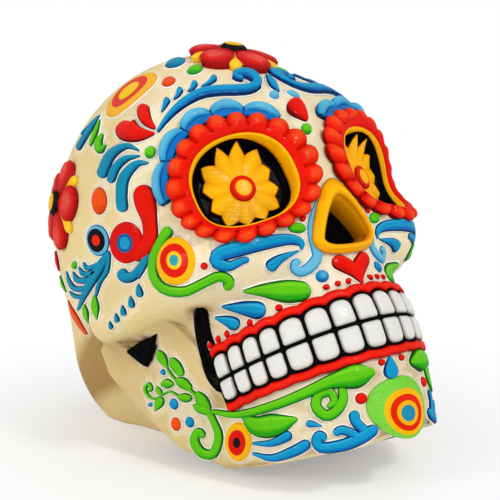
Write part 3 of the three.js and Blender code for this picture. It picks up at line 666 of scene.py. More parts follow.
def disc_grid(pixels_at, stand, rings, field, dome=2.0, shaded=True, trough=0.0, onto=face_under):
    """A low dome over a closed outline: pixels_at(ring, angle) gives the picture point, the height falls
    with the ring to a power, then come the skirt and the hidden back. Unshaded, its paint value is a
    share of the ring, and 1 on the skirt."""
    shown = np.linspace(0, 1, rings)
    ring = np.concatenate([shown, [1, 1, 0.85, 0]])[:, None]
    skirt = np.pad(DISC_SKIRT, (rings, 2))[:, None, None]
    angle = full_turn(DISC_STEPS)[None]
    pixels = pixels_at(ring, angle)
    pixels = pixels + SKIRT_PIXELS * skirt * unit(pixels - pixels[:1] + 1e-9)
    foot, out = onto(pixels, field)
    relief = SKIRT_LIFT + stand * (1 - shown ** dome) - trough * (1 - shown ** 2) ** 2
    hidden = HIDDEN_BACK - trough
    lift = np.concatenate([relief, SKIRT_LIFT * (1 - SKIRT_FALL * DISC_SKIRT), [hidden, hidden]])
    grid = drawn_to_points(foot + out * lift[:, None, None])
    fall = pixels[..., 1] - pixels[0, 0, 1]
    # Dots too are lighter above and darker below: painted light and shade over their two tones.
    tone = np.where(ring < 0.99, tone_of(-fall / np.abs(fall).max()), OUTLINE_TONE)
    on_face = np.arange(rings + 4)[:, None] < rings
    paint = np.where(on_face, tone, 0) if shaded else np.where(on_face, FACE_SHARE * ring, 1)
    return [(grid, uv_of(angle / (2 * np.pi), paint), False)]


def oval(centre, semi, turn=0, stand=STROKE_STAND, rings=7, shaded=True, dome=6.0, onto=face_under):
    """An oval dome: picture point = centre + ring (a cos angle, b sin angle), turned clockwise by
    degrees."""
    a, b = np.asarray(semi) * PIXELS_PER_MM
    c, s = np.cos(np.radians(turn)), np.sin(np.radians(turn))

    def pixels_at(ring, angle):
        x, y = ring * a * np.cos(angle), ring * b * np.sin(angle)
        return np.stack([centre[0] + c * x - s * y, centre[1] + s * x + c * y], -1)

    return disc_grid(pixels_at, stand, rings, skin, dome, shaded, 0.0, onto)


print("A stroke has", STROKE_STEPS + 2, "rows of", len(ACROSS) + 2, "points")

# %% [markdown]
# ## Where the eyes and the nose are
# Each eye lies in a plane of its own, turned out to the side. Its opening is a rounded oval, rolled a
# little. The nose is a pear. Both are hollows, and a hollow with a crisp edge needs its own piece: the
# head's skin only dips down out of the way under the rim, and a bowl of its own gives the wall and the
# floor.

# %% Eye and nose outlines
EYE_AT = np.array([-33.7, -66.4, 1.1])
EYE_TURN = np.radians(18)
EYE_ROLL = np.radians(-7)
EYE_SEMI = (20.4, 16.2)
EYE_POWER = 2.5
EYE_DEPTH = 4
RIM_AT = np.array([-34.4, -66.2, 3.1])
RIM_SEMI = (31, 23.3)
RIM_STAND = 5
NOSE_PLANE = -78
NOSE_TOP, NOSE_WIDE, NOSE_BOTTOM = -3.5, -27, -37
NOSE_HALF = 17.5
NOSE_WALL = 5
NOSE_DEPTH = 9
NOSE_PINCH, NOSE_FLATNESS, NOSE_TOP_WALL = 0.42, 0.25, 1.5
CHART_SEARCH = dict(start=20, stop=160, marks=36)
FAR_OUT = 9

eye_out = np.array([-np.sin(EYE_TURN), -np.cos(EYE_TURN), 0])
eye_side = np.array([-np.cos(EYE_TURN), np.sin(EYE_TURN), 0])
eye_up = np.array([0, 0, 1])


def oval_radius(angle, semi, power=2.0):
    """Radius of an oval at an angle: (|cos / a|^n + |sin / b|^n) to the power -1/n."""
    wide = np.abs(np.cos(angle) / semi[0]) ** power
    tall = np.abs(np.sin(angle) / semi[1]) ** power
    return (wide + tall) ** (-1 / power)


def eye_plane(radius, angle, lift=0.0, middle=EYE_AT):
    """Point of the eye's plane at a radius and angle, rolled with the socket and lifted out of the
    plane."""
    turned = angle + EYE_ROLL
    a, b = radius * np.cos(turned), radius * np.sin(turned)
    lift = np.broadcast_to(lift, np.shape(a))
    return middle + a[..., None] * eye_side + b[..., None] * eye_up + lift[..., None] * eye_out


def onto_skin(p, field=cranium):
    """Where the ray from the chart centre through p leaves the head, and that ray's direction."""
    heading = unit(p - CHART_CENTRE)
    start = np.broadcast_to(CHART_CENTRE, heading.shape)
    return CHART_CENTRE + heading * crossing(start, heading, field, **CHART_SEARCH)[..., None], heading


def nose_outline(angle, inset):
    """Pear: a flattened half ellipse below, and above it one whose sides are pinched towards the top."""
    c, s = np.sin(angle), np.cos(angle)
    rise, fall = NOSE_TOP - NOSE_WIDE - NOSE_TOP_WALL * inset, NOSE_WIDE - NOSE_BOTTOM - inset
    x = (NOSE_HALF - inset) * c * np.where(s > 0, 1 - NOSE_PINCH * s, 1)
    z = NOSE_WIDE + np.where(s > 0, rise * s, fall * s * (1 - NOSE_FLATNESS * s * s))
    return x, z


def eye_share(p):
    """How far out of the socket a point is, seen from the chart centre: 1 on the socket's edge."""
    heading = unit(folded(p, -1) - CHART_CENTRE)
    reach = ((EYE_AT - CHART_CENTRE) @ eye_out) / np.maximum(heading @ eye_out, 0.05)
    flat = CHART_CENTRE + heading * reach[..., None] - EYE_AT
    a, b = flat @ eye_side, flat @ eye_up
    angle = np.arctan2(b, a) - EYE_ROLL
    share = np.hypot(a, b) / oval_radius(angle, EYE_SEMI, EYE_POWER)
    return np.where(heading @ eye_out > 0.3, share, FAR_OUT)


def nose_share(p):
    """How far out of the nose a point of the head is: 1 halfway across the nose's frame."""
    heading = unit(p - CHART_CENTRE)
    reach = (NOSE_PLANE - CHART_CENTRE[1]) / np.minimum(heading[..., 1], -0.05)
    flat = CHART_CENTRE + heading * reach[..., None]
    turn = np.linspace(-np.pi, np.pi, 181)
    x, z = nose_outline(turn, NOSE_WALL / 2)
    polar = np.arctan2(x, z - NOSE_WIDE)
    order = np.argsort(polar)
    edge = np.interp(np.arctan2(flat[..., 0], flat[..., 2] - NOSE_WIDE), polar[order],
                     np.hypot(x, z - NOSE_WIDE)[order])
    share = np.hypot(flat[..., 0], flat[..., 2] - NOSE_WIDE) / edge
    return np.where(heading[..., 1] < -0.5, share, FAR_OUT)


print("Eye opening: %.1f by %.1f mm" % (2 * EYE_SEMI[0], 2 * EYE_SEMI[1]))
print("Nose: %.1f mm high" % (NOSE_TOP - NOSE_BOTTOM))

# %% [markdown]
# ## Paint for the castings
# The ground is a cream slip. It is mixed towards tan in the hollows, partly a thin tan wiped over it and
# partly painted shade, and the painter left a pale, clean margin round every bit of ornament. Both are
# numbers at the mesh's points, worked out once all the ornament is in place. The material only mixes
# three colours by them.

# %% Cream paint
CREAM, WASH_AND_SHADE_TAN = "e6d096", "ae8b52"
MIX_A, MIX_B, MIX_RESULT = 6, 7, 2


def build_cream_paint():
    """Cream, mixed towards tan in the hollows by the point value wash_and_shade, partly the painter's tan
    and partly painted shade, and towards pale by the point value margin.
    """
    material, tree, colour = start_paint("cream_paint", 0.1)
    mixes = []
    for key, code in (("wash_and_shade", WASH_AND_SHADE_TAN), ("margin", PALE)):
        value = put(tree, "ShaderNodeAttribute", attribute_name=key)
        mix = put(tree, "ShaderNodeMix", data_type="RGBA")
        mix.inputs[MIX_B].default_value = linear(code)
        tree.links.new(value.outputs["Fac"], mix.inputs["Factor"])
        mixes.append(mix)
    mixes[0].inputs[MIX_A].default_value = linear(CREAM)
    tree.links.new(mixes[0].outputs[MIX_RESULT], mixes[1].inputs[MIX_A])
    tree.links.new(mixes[1].outputs[MIX_RESULT], colour)
    return material


cream_paint = build_cream_paint()
black_paint = ramp_paint("black_paint", [(0, "080808"), (1, "0c0c0c")], 0.3, coat=BLACK_COAT)
print("Castings are painted with", cream_paint.name, "and", black_paint.name)

# %% [markdown]
# ## The cranium
# The casting could be remeshed from voxels, but then nothing says where its front is. Here it is a globe:
# a ray for each longitude and latitude leaves the chart centre, and its length is where the formula
# changes sign. Longitudes lie closer together on the face. The table and the bite cut the rays short, and
# the eyes and the nose sink out of sight below their rims.

# %% Cranium
CRANIUM_ROWS, CRANIUM_COLUMNS = 221, 440
FACE_CROWDING = 0.4
GLOBE_SEARCH = dict(start=20, stop=160, marks=24)
EYE_SINK = dict(depth=28, edge=1.24, run=0.18)
NOSE_SINK = dict(depth=14, edge=1.16, run=0.24)


def chart(longitude, latitude):
    """Direction at a longitude, counted from the face towards the skull's right, and a latitude."""
    flat = np.cos(latitude)
    rise = np.sin(latitude) * np.ones_like(flat)
    return np.stack([-np.sin(longitude) * flat, -np.cos(longitude) * flat, rise], -1)


def dip(share, depth, edge, run):
    """How far the skin dips out of the way: the full depth, less by a smooth step over a run up to the
    edge."""
    return depth * ease((edge - share) / run)


def cut_short(heading, length):
    """Ray lengths limited by the table's plane, and by the bite's plane where that is met in front of the
    mouth's end. Either limit is the start's height over the plane divided by the ray's fall towards
    it."""
    table_fall = heading[..., 1] * np.sin(TILT) - heading[..., 2] * np.cos(TILT)
    table_limit = turn_upright(CHART_CENTRE)[2] / np.maximum(table_fall, 1e-6)
    bite_fall = -heading[..., 2] + (bite_height(1.0) - bite_height(0.0)) * heading[..., 1]
    bite_limit = (CHART_CENTRE[2] - bite_height(CHART_CENTRE[1])) / np.maximum(bite_fall, 1e-6)
    in_mouth = CHART_CENTRE[1] + bite_limit * heading[..., 1] < MOUTH_END
    length = np.where(table_fall > 0, np.minimum(length, table_limit), length)
    return np.where((bite_fall > 0) & in_mouth, np.minimum(length, bite_limit), length)


turn = full_turn(CRANIUM_COLUMNS)
rows = np.linspace(-np.pi / 2, np.pi / 2, CRANIUM_ROWS)
longitude, latitude = np.meshgrid(turn - FACE_CROWDING * np.sin(turn), rows)
heading = chart(longitude, latitude)
length = crossing(np.broadcast_to(CHART_CENTRE, heading.shape), heading, cranium, **GLOBE_SEARCH)
surface = CHART_CENTRE + heading * length[..., None]
length = length - dip(eye_share(surface), **EYE_SINK) - dip(nose_share(surface), **NOSE_SINK)
length = cut_short(heading, length - groove_depth(surface))
chart_uv = np.stack([longitude / (2 * np.pi) % 1, latitude / np.pi + 0.5], -1)
surface = CHART_CENTRE + heading * length[..., None]
cranium_piece = make_piece("cranium_casting", [(surface, chart_uv, False)],
                           cream_paint, ("cranium",))

# %% [markdown]
# ## The jaw
# The jaw is a band too long and too bent for a globe. It is a loft: one section at each station from
# condyle to condyle, down the inner face and up the outer one, with a round lower edge. The outer face
# runs on upwards along the skin, so that it melts into the cheek arch with no joint line.

# %% Jaw
JAW_ROWS = 261
OUTER_COLUMNS = 44
INNER_COLUMNS = 18
ARCH_OVERLAP = 9
END_ROUND = 0.05
SINK_UNDER_ARCH = 0.25
RAMUS_START, RAMUS_RUN = 0.61, 0.03
OUTER_CROWDING, INNER_CROWDING = 1.4, 1.2
LOWER_EDGE_ROUND = 0.48
OUTWARD_SEARCH = dict(start=0, stop=22, marks=36)


def drawn_in(height, wall):
    """How far the round lower edge draws a face in: r - root(r squared - (r - height) squared), r a share
    of the wall."""
    r = LOWER_EDGE_ROUND * wall
    return r - np.sqrt(np.clip(r ** 2 - np.clip(r - height, 0, None) ** 2, 0, None))


def jaw_grid():
    """Sections of the jaw. The outer face goes from the wall's middle out to the skin. The condyles are
    rounded off by a circle's edge."""
    side = np.linspace(-1, 1, JAW_ROWS)[:, None]
    t = np.abs(side)
    wall = along(JAW_WALL, t)
    low = along(JAW_BOTTOM, t)
    high = jaw_top(t, jaw_point(t, BITE_Z, 0)[..., 1])
    v = np.linspace(0, 1, OUTER_COLUMNS) ** OUTER_CROWDING
    behind = ease((t - RAMUS_START) / RAMUS_RUN)
    z = low + (high + ARCH_OVERLAP * behind - low) * v
    z_inner = low + (high - low) * np.linspace(1, 0, INNER_COLUMNS) ** INNER_CROWDING
    thinned = np.sqrt(1 - np.clip((t - 1 + END_ROUND) / END_ROUND, 0, 1) ** 2)
    middle = (low + high) / 2
    z, z_inner = middle + (z - middle) * thinned, middle + (z_inner - middle) * thinned
    core = jaw_point(side, z, wall / 2)
    out = unit(jaw_point(side, z, 0) - jaw_point(side, z, 1))
    far = crossing(core, out, skin, **OUTWARD_SEARCH)
    sunk = SINK_UNDER_ARCH * behind * ease((v - 0.6) / 0.3)
    outer = core + out * (far - drawn_in(z - low, wall) - sunk)[..., None]
    outer = outer - out * groove_depth(outer)[..., None]
    inner = jaw_point(side, z_inner, wall - drawn_in(z_inner - low, wall))
    grid = drawn_to_points(np.concatenate([outer, inner], 1))
    return grid, uv_of((side + 1) / 2, np.linspace(0, 1, grid.shape[1])[None])


jaw_points, jaw_uv = jaw_grid()
jaw_piece = make_piece("jaw_casting", [(jaw_points, jaw_uv, False)], cream_paint, ("jaw",))

# %% [markdown]
# ## Teeth and lips
# The teeth are flat white tiles with soft corners, eight in each half row, over a band painted black. The
# band shows as the black lines between them. A red lip with a scalloped edge follows each row. All are
# laid out by station along the jaw and by height, and sent out from the arch's upright axis on to the
# gum.

# %% Places on the dental arch
TOOTH_STATIONS = np.array([0, 0.088, 0.175, 0.261, 0.346, 0.413, 0.475, 0.535, 0.6])
LAST_TOOTH = TOOTH_STATIONS[-1]
TOOTH_LINE = 1.45
TOOTH_STAND = 2.6
BITE_LINE = 0.75
UPPER_HEIGHTS = (10.2, 8.6)
LOWER_HEIGHTS = (10.4, 7.8)
GUM_ARCHES = (1.5, 0.7)
LIP_HEIGHT = 3.5
LIP_CLEAR = 1.1
ARCH_SEARCH = dict(start=15, stop=80, marks=30)


def on_arch(station, z, lift, field):
    """Point of a field's surface seen from the arch's axis at this height, raised along that line."""
    station, z, lift = np.broadcast_arrays(station, z, lift)
    axis = np.stack([0 * z, 0 * z + JAW_FRONT, z], -1)
    heading = unit(jaw_point(station, z, 0) - axis)
    far = crossing(axis, heading, field, **ARCH_SEARCH)
    return axis + heading * (far + lift)[..., None]


def bite_at(station):
    """Height of the bite at a station."""
    return bite_height(jaw_point(station, BITE_Z, 0)[..., 1])


def gum_at(station, upper):
    """Height of the gum's edge: the bite, half the black line and the tooth, lower towards the molars.
    Between two teeth the edge comes back towards the bite by the square of the way to the tooth's
    side."""
    t = np.abs(station)
    tall = np.interp(t, (0, LAST_TOOTH), UPPER_HEIGHTS if upper else LOWER_HEIGHTS)
    nearest = np.clip(np.searchsorted(TOOTH_STATIONS, t, "right") - 1, 0, len(TOOTH_STATIONS) - 2)
    start, end = TOOTH_STATIONS[nearest], TOOTH_STATIONS[nearest + 1]
    p = np.clip((2 * t - start - end) / (end - start), -1, 1)
    arch = GUM_ARCHES[0 if upper else 1] * p * p
    return bite_at(station) + (BITE_LINE + tall - arch) * (1 if upper else -1)


print("Upper gum over the middle teeth: %.1f mm" % gum_at(TOOTH_STATIONS[1:2] / 2, True)[0])

# %% Teeth
GUM_SQUARENESS, BITE_SQUARENESS = 4.5, 11.0
TOOTH_RINGS, TOOTH_STEPS = 8, 44
TOOTH_EDGE_FALL = 0.42
TOOTH_BACK = [-0.4, -0.5, -0.5]


def tooth_patch(number, upper, side):
    """A rounded tile: rings and angles spread over a square by (|cos|^n + |sin|^n)^(-1/n), with rounder
    corners at the gum than at the bite. Its face is a low dome."""
    ends = TOOTH_STATIONS[number:number + 2]
    wide = np.linalg.norm(np.diff(jaw_point(ends, BITE_Z, 0), axis=0))
    keep = 1 - TOOTH_LINE / wide
    shown = np.linspace(0, 1, TOOTH_RINGS)
    ring = np.concatenate([shown, [1, 0.6, 0]])[:, None]
    lift = np.concatenate([TOOTH_STAND * (1 - TOOTH_EDGE_FALL * shown ** 5), TOOTH_BACK])[:, None]
    angle = full_turn(TOOTH_STEPS)[None]
    spread = oval_radius(angle, (1, 1), np.where(np.sin(angle) > 0, GUM_SQUARENESS, BITE_SQUARENESS))
    p, q = ring * spread * np.cos(angle), ring * spread * np.sin(angle)
    station = ends.mean() + keep * (ends[1] - ends[0]) / 2 * p
    bite = bite_at(station) + BITE_LINE * (1 if upper else -1)
    gum = gum_at(station, upper)
    z = bite + (gum - bite) * (q + 1) / 2
    grid = drawn_to_points(on_arch(-station, z, lift, cranium if upper else jaw_face))
    return grid * np.array([side, 1, 1]), uv_of(angle / (2 * np.pi), ring), False


tooth_stops = [(0, "e2e1dd"), (0.78, "dfddd8"), (0.94, "d0cdc6"), (1, "a29f9a")]
tooth_paint = ramp_paint("tooth_paint", tooth_stops, 0.06)
for row in ("upper", "lower"):
    numbers = range(len(TOOTH_STATIONS) - 1)
    tiles = [tooth_patch(number, row == "upper", side) for side in (1, -1) for number in numbers]
    stands_for = [f"{row}_tooth_{side}_{number + 1}" for side in ("left", "right") for number in numbers]
    make_piece(f"{row}_teeth", tiles, tooth_paint, stands_for)

# %% Lips and the black band behind the teeth
LIP_ROWS = 257
LIP_STAND, LIP_ARCH = 2.4, 0.6
BAND_STAND, BAND_CROWN = 0.9, 0.1
BAND_END = LAST_TOOTH + 0.012
PAST_BITE, UNDER_LIP = 1, 2


def arch_ribbon(edges, stand, field, reach=LAST_TOOTH, crown=0.5):
    """A strip along the arch between two heights edges(station), drawn to a point at its ends. Across it,
    the stand is less by the crown times s to the fourth."""
    station = np.linspace(-reach, reach, LIP_ROWS)[:, None]
    across, hidden = strip(9)
    low, high = edges(station)
    lift = np.where(hidden, HIDDEN_BACK, stand * (1 - crown * (2 * across - 1) ** 4))
    grid = drawn_to_points(on_arch(station, low + (high - low) * across, lift, field))
    return [(grid, uv_of(station + 0.5, across), False)]


def lip_edges(upper):
    """Inner edge just off the gum's edge, outer edge a lip's height further, with softer arches."""
    way = 1 if upper else -1

    def edges(station):
        gum = gum_at(station, upper) + way * LIP_CLEAR
        tall = np.interp(np.abs(station), (0, LAST_TOOTH), UPPER_HEIGHTS if upper else LOWER_HEIGHTS)
        level = bite_at(station) + way * (BITE_LINE + tall + LIP_CLEAR)
        return gum, LIP_ARCH * gum + (1 - LIP_ARCH) * level + way * LIP_HEIGHT

    return edges


def band_edges(upper):
    """From just past the bite to under the lip."""
    way = 1 if upper else -1
    return lambda station: (bite_at(station) - PAST_BITE * way, gum_at(station, upper) + UNDER_LIP * way)


lip_stops = [(0, "b30a04"), (0.15, "e01206"), (0.5, "ee2410"), (0.85, "e01206"), (1, "a00a04")]
lip_paint = ramp_paint("lip_paint", lip_stops)
bands = []
for row, field in (("upper", cranium), ("lower", jaw_face)):
    lip = arch_ribbon(lip_edges(row == "upper"), LIP_STAND, field)
    make_piece(f"{row}_lip_scallops", lip, lip_paint, (f"{row}_lip",))
    bands += arch_ribbon(band_edges(row == "upper"), BAND_STAND, field, BAND_END, BAND_CROWN)
make_piece("tooth_lines", bands, black_paint, ())

# %% [markdown]
# ## Linings of the hollows
# The slit and the notch are painted black inside. Paint on the casting would need a much finer mesh for a
# crisp edge, so each hollow gets a thin black piece of its own. The slit's is a stroke with a trough
# along it. The notch lies under the overhanging arch, so its piece is a plate that bridges its three
# corners.

# %% Linings of the slit and the notch
LINING_RIM = 0.8
LINING_TROUGH = 1.7
NOTCH_RINGS, NOTCH_DOME, NOTCH_ROUND = 14, 24.0, 0.2


def notch_pixels(ring, angle):
    """A triangle with slightly round corners, drawn in to its middle by the ring."""
    way = (angle / (2 * np.pi) * 3).ravel() % 3
    rounded = smooth_path(notch_loop, way / 3)
    straight = np.stack([np.interp(way, range(4), corners) for corners in notch_loop.T], -1)
    edge = NOTCH_ROUND * rounded + (1 - NOTCH_ROUND) * straight
    return notch_middle + np.asarray(ring)[..., None] * (edge - notch_middle)


notch_points = under_pixels(NOTCH_PIXELS, skin)
notch_plane = np.linalg.solve(np.column_stack([NOTCH_PIXELS, np.ones(3)]), notch_points)
notch_out = unit(np.cross(notch_points[2] - notch_points[0], notch_points[1] - notch_points[0]))
notch_out = notch_out * np.sign(-notch_out[0])


def onto_notch(pixels, field):
    """Points of the plane through the notch's three corners, which bridges the hollow under the arch."""
    foot = np.concatenate([pixels, np.ones_like(pixels[..., :1])], -1) @ notch_plane
    return foot, np.broadcast_to(notch_out, foot.shape)


linings = stroke(SLIT_PIXELS, SLIT_WIDTHS, LINING_RIM, skin, LINING_TROUGH)
linings += disc_grid(notch_pixels, 2 * LINING_RIM, NOTCH_RINGS, skin, NOTCH_DOME, False, LINING_RIM,
                     onto_notch)
make_piece("black_hollows", linings + mirrored(linings), black_paint, ())

# %% [markdown]
# ## Eyes
# Round each socket sits a ring of beads with a smooth inner band. Single beads could be set round an oval,
# but one wavy ring follows the skin without seams. The socket itself is a black bowl with a yellow band
# under its lip, and a sunflower with a button lies on its floor. Over the ring hangs a blue cloud of five
# lobes. The ring and the cloud lie on the skin; the bowl and the flower lie in the eye's own plane.

# %% Beaded rims
BEADS = 20
RIM_STEPS = 520
RIM_SEAM = 0.8
RIM_EDGE = 0.35
BAND_SHARE = 0.14
BEAD_SWELL, BEAD_INSET, BEAD_GAP = 2.4, 1.1, 0.5
NASAL_REACH, UNEVENNESS = 1.6, 0.4


def share_of_way(angle, radius):
    """Share of the way round an outline at each angle, by adding up its chords."""
    closed = np.append(angle, angle[0])
    edge = np.append(radius, radius[0])[:, None] * np.stack([np.cos(closed), np.sin(closed)], -1)
    run = np.concatenate([[0], np.cumsum(np.linalg.norm(np.diff(edge, axis=0), axis=-1))])
    return run[:-1] / run[-1]


rim_angle = full_turn(RIM_STEPS)
rim_bead = np.abs(np.cos(np.pi * BEADS * share_of_way(rim_angle, oval_radius(rim_angle, RIM_SEMI))))


def rim_patch():
    """Ring of beads: the outer edge swells with the bead, and past the inner band the height sinks
    between the beads. Next to the nose the ring reaches further and its inner edge is lower. A slow wave
    makes the beads uneven."""
    across, hidden = strip(17)
    angle, bead = rim_angle[:, None], rim_bead[:, None]
    inner = eye_plane(oval_radius(angle, np.array(EYE_SEMI) + RIM_SEAM, EYE_POWER), angle)
    nasal = np.maximum(-np.cos(angle), 0) ** 2
    swell = BEAD_SWELL * bead ** 0.6 - BEAD_INSET + NASAL_REACH * nasal
    swell = swell + UNEVENNESS * np.sin(5 * angle + 0.7)
    outer = eye_plane(oval_radius(angle, RIM_SEMI) + swell, angle, middle=RIM_AT)
    crown = RIM_EDGE + (1 - RIM_EDGE) * np.sqrt(1 - (0.02 + 0.96 * across - 0.5) ** 2 * 3.9)
    crown = crown * (1 - 0.4 * nasal * (1 - across) ** 2)
    gap = BEAD_GAP * ease((across - BAND_SHARE) / 0.3) * (1 - bead) ** 1.3
    foot, out = onto_skin(inner + (outer - inner) * across[..., None])
    lift = np.where(hidden, HIDDEN_BACK, RIM_STAND * crown * (1 - gap))
    # Lighter orange on the bead tops is painted light, and deeper red in the creases between the beads is
    # painted shade, over the rim's red.
    top = ease((across - 0.22) / 0.25) * bead ** 0.7 * (1 - 0.7 * ease((across - 0.75) / 0.25))
    paint = 0.35 + 0.65 * top - 0.35 * ease((across - BAND_SHARE) / 0.2) * (1 - bead) ** 2
    paint = np.where(hidden | (across > 0.99), 0, paint)
    return [(foot + out * lift[..., None], uv_of(angle / (2 * np.pi), paint), True)]


rim_paint = ramp_paint("rim_paint", [(0, "8c0602"), (0.12, "b80a02"), (0.3, "e01000"), (0.5, "e61a02"),
                                     (0.75, "e62a06"), (1, "ee4614")], 0.3)
make_pair("eye_rim", rim_patch(), rim_paint)

# %% Sockets
SOCKET_STEPS = 160
FLOOR_ROWS, WALL_ROWS, BAND_ROWS = 10, 6, 5
FLOOR_SHARE, LIP_SHARE, UNDER_SHARE, BACK_EDGE = 0.93, 1.03, 1.16, 1.06
LIP_RISE, BOWL_WALL = 1.4, 2
BAND_TOP, BAND_INSET, BAND_BACK = 1.05, 0.35, -0.8


def wall_point(angle, rise):
    """Point of the socket's wall: 0 is the floor's edge, and 1 is the lip under the rim's inner edge.
    Below 0 the point runs on over the floor towards its middle."""
    edge = oval_radius(angle, EYE_SEMI, EYE_POWER)
    foot = eye_plane(FLOOR_SHARE * edge * np.minimum(1 + rise, 1), angle, -EYE_DEPTH)
    lip, out = onto_skin(eye_plane(LIP_SHARE * edge, angle))
    return foot + (lip + LIP_RISE * out - foot) * np.maximum(rise, 0)[..., None]


def socket_patch():
    """Bowl: a flat floor in the eye's plane, a wall from its edge up to the rim, and a back outside
    it."""
    angle = full_turn(SOCKET_STEPS)[None]
    edge = oval_radius(angle, EYE_SEMI, EYE_POWER)
    rise = np.concatenate([np.linspace(-1, 0, FLOOR_ROWS), np.linspace(0, 1, WALL_ROWS + 1)[1:]])
    inside = wall_point(angle, rise[:, None])
    under, _ = onto_skin(eye_plane(UNDER_SHARE * edge, angle))
    back = eye_plane(np.array([BACK_EDGE, 0])[:, None] * edge, angle, -EYE_DEPTH - BOWL_WALL)
    return [(np.concatenate([inside, under, back]), np.array([0.0, 0.0]), False)]


def socket_band_patch():
    """Yellow band under the lip, deepest next to the nose and thin above and below the eye."""
    angle = full_turn(SOCKET_STEPS)[:, None]
    deep = 0.13 + 0.27 * np.cos(angle) ** 2 + 0.34 * np.maximum(-np.cos(angle), 0) ** 2
    rise = BAND_TOP - deep * np.concatenate([np.linspace(1, 0, BAND_ROWS), [0.1, 0.9]])
    inset = np.where(np.arange(BAND_ROWS + 2) < BAND_ROWS, BAND_INSET, BAND_BACK)
    inwards = eye_plane(-1 + 0 * angle, angle) - EYE_AT
    grid = wall_point(angle + 0 * rise, rise) + inset[:, None] * inwards
    return [(grid, uv_of(angle / (2 * np.pi), rise), True)]


# The band's yellow is darker lower down the wall, as painted shade deeper in the socket.
band_yellow = ramp_paint("band_yellow", [(0, "e09204"), (0.6, "f0a804"), (1, "fcbc0a")], 0.25)
make_pair("eye_socket", socket_patch(), black_paint, False)
make_pair("eye_band", socket_band_patch(), band_yellow, False)

# %% Sunflowers and their buttons
PETALS, PETAL_STEPS = 12, 14
SUNFLOWER_RINGS = 11
SUNFLOWER_NOTCH, SUNFLOWER_TIP = 0.83, 0.98
SUNFLOWER_THICK = 3.0
TOP_PETAL_CLIMB = 0.8
BUTTON_RADIUS, BUTTON_THICK, BUTTON_CLEAR = 5.3, 1.2, 0.4
BUTTON_RINGS, BUTTON_STEPS = 9, 56


def sunflower_patch():
    """Flower: a dish whose petals end on the floor, and above on the wall. The share of the reach goes
    from notch to tip by a tent over each petal, and each petal is raised along its middle."""
    angle = full_turn(PETALS * PETAL_STEPS)[None]
    tent = 1 - np.abs(2 * ((angle * PETALS / (2 * np.pi)) % 1) - 1)
    above = np.maximum(np.sin(angle), 0)
    sides = 0.02 * np.cos(angle) - 0.18 * np.cos(angle) ** 2 + 0.1 * np.maximum(-np.sin(angle), 0)
    climb = TOP_PETAL_CLIMB * above ** 3 + (1 - above ** 2) * sides
    middle = eye_plane(np.zeros((1, 1)), np.zeros((1, 1)), -EYE_DEPTH)
    reach = wall_point(angle, climb) - middle
    upwards = (reach @ eye_out)[..., None] * eye_out
    ring = np.concatenate([np.linspace(0, 0.95, SUNFLOWER_RINGS), [1], np.linspace(1, 0, 6)])[:, None]
    notch = SUNFLOWER_NOTCH - 0.1 * above ** 2
    share = (ring * (notch + (SUNFLOWER_TIP - notch) * tent))[..., None]
    ridge = 0.06 * (tent - 0.5) * ease((ring - 0.5) / 0.4)
    face = SUNFLOWER_THICK * (1 - 0.4 * ring ** 2 + ridge * (1 - ring ** 6))
    hidden = np.arange(len(ring))[:, None] > SUNFLOWER_RINGS
    grid = middle + share * (reach - upwards) + share ** 3 * upwards
    grid = drawn_to_points(grid + np.where(hidden, 0.1, face)[..., None] * eye_out)
    valley = (1 - tent) ** 3 * ease((ring - 0.6) / 0.4)
    paint = np.where(hidden | (ring > 0.99), 0, 0.75 + 0.25 * tent * ring - 0.35 * valley)
    return [(grid, uv_of(angle / (2 * np.pi), paint), False)]


def button_patch():
    """Dome on the flower: height falls with the fourth power of the ring."""
    foot = SUNFLOWER_THICK + BUTTON_CLEAR
    angle = full_turn(BUTTON_STEPS)[None]
    ring = np.concatenate([np.linspace(0, 1, BUTTON_RINGS), [1, 0]])[:, None]
    hidden = np.arange(len(ring))[:, None] >= BUTTON_RINGS
    lift = np.where(hidden, foot - 0.6, foot + BUTTON_THICK * (1 - 0.7 * ring ** 4))
    grid = drawn_to_points(eye_plane(BUTTON_RADIUS * ring + 0 * angle, angle, lift - EYE_DEPTH))
    return [(grid, uv_of(angle / (2 * np.pi), np.where(hidden, 1, ring)), False)]


petal_stops = [(0, "5a2c02"), (0.2, "c87404"), (0.45, "eb9a02"), (0.75, "f8ae02"), (1, "fdbf10")]
petal_yellow = ramp_paint("petal_yellow", petal_stops)
button_stops = [(0, "f8b406"), (0.6, "f8b406"), (0.66, "e61c02"), (1, "cc1400")]
button_paint = ramp_paint("button_paint", button_stops, 0.2)
make_pair("sunflower", sunflower_patch(), petal_yellow)
make_pair("sunflower_button", button_patch(), button_paint)

# %% Brow clouds
CLOUD_SPAN = np.radians([2, 138])
CLOUD_ROWS = 281
CLOUD_LOBES = 5
CLOUD_CLEAR, CLOUD_WIDTH, CLOUD_VALLEY = 0.6, 9.6, 0.62
CLOUD_STEP = 0.42
CLOUD_STAND = 4


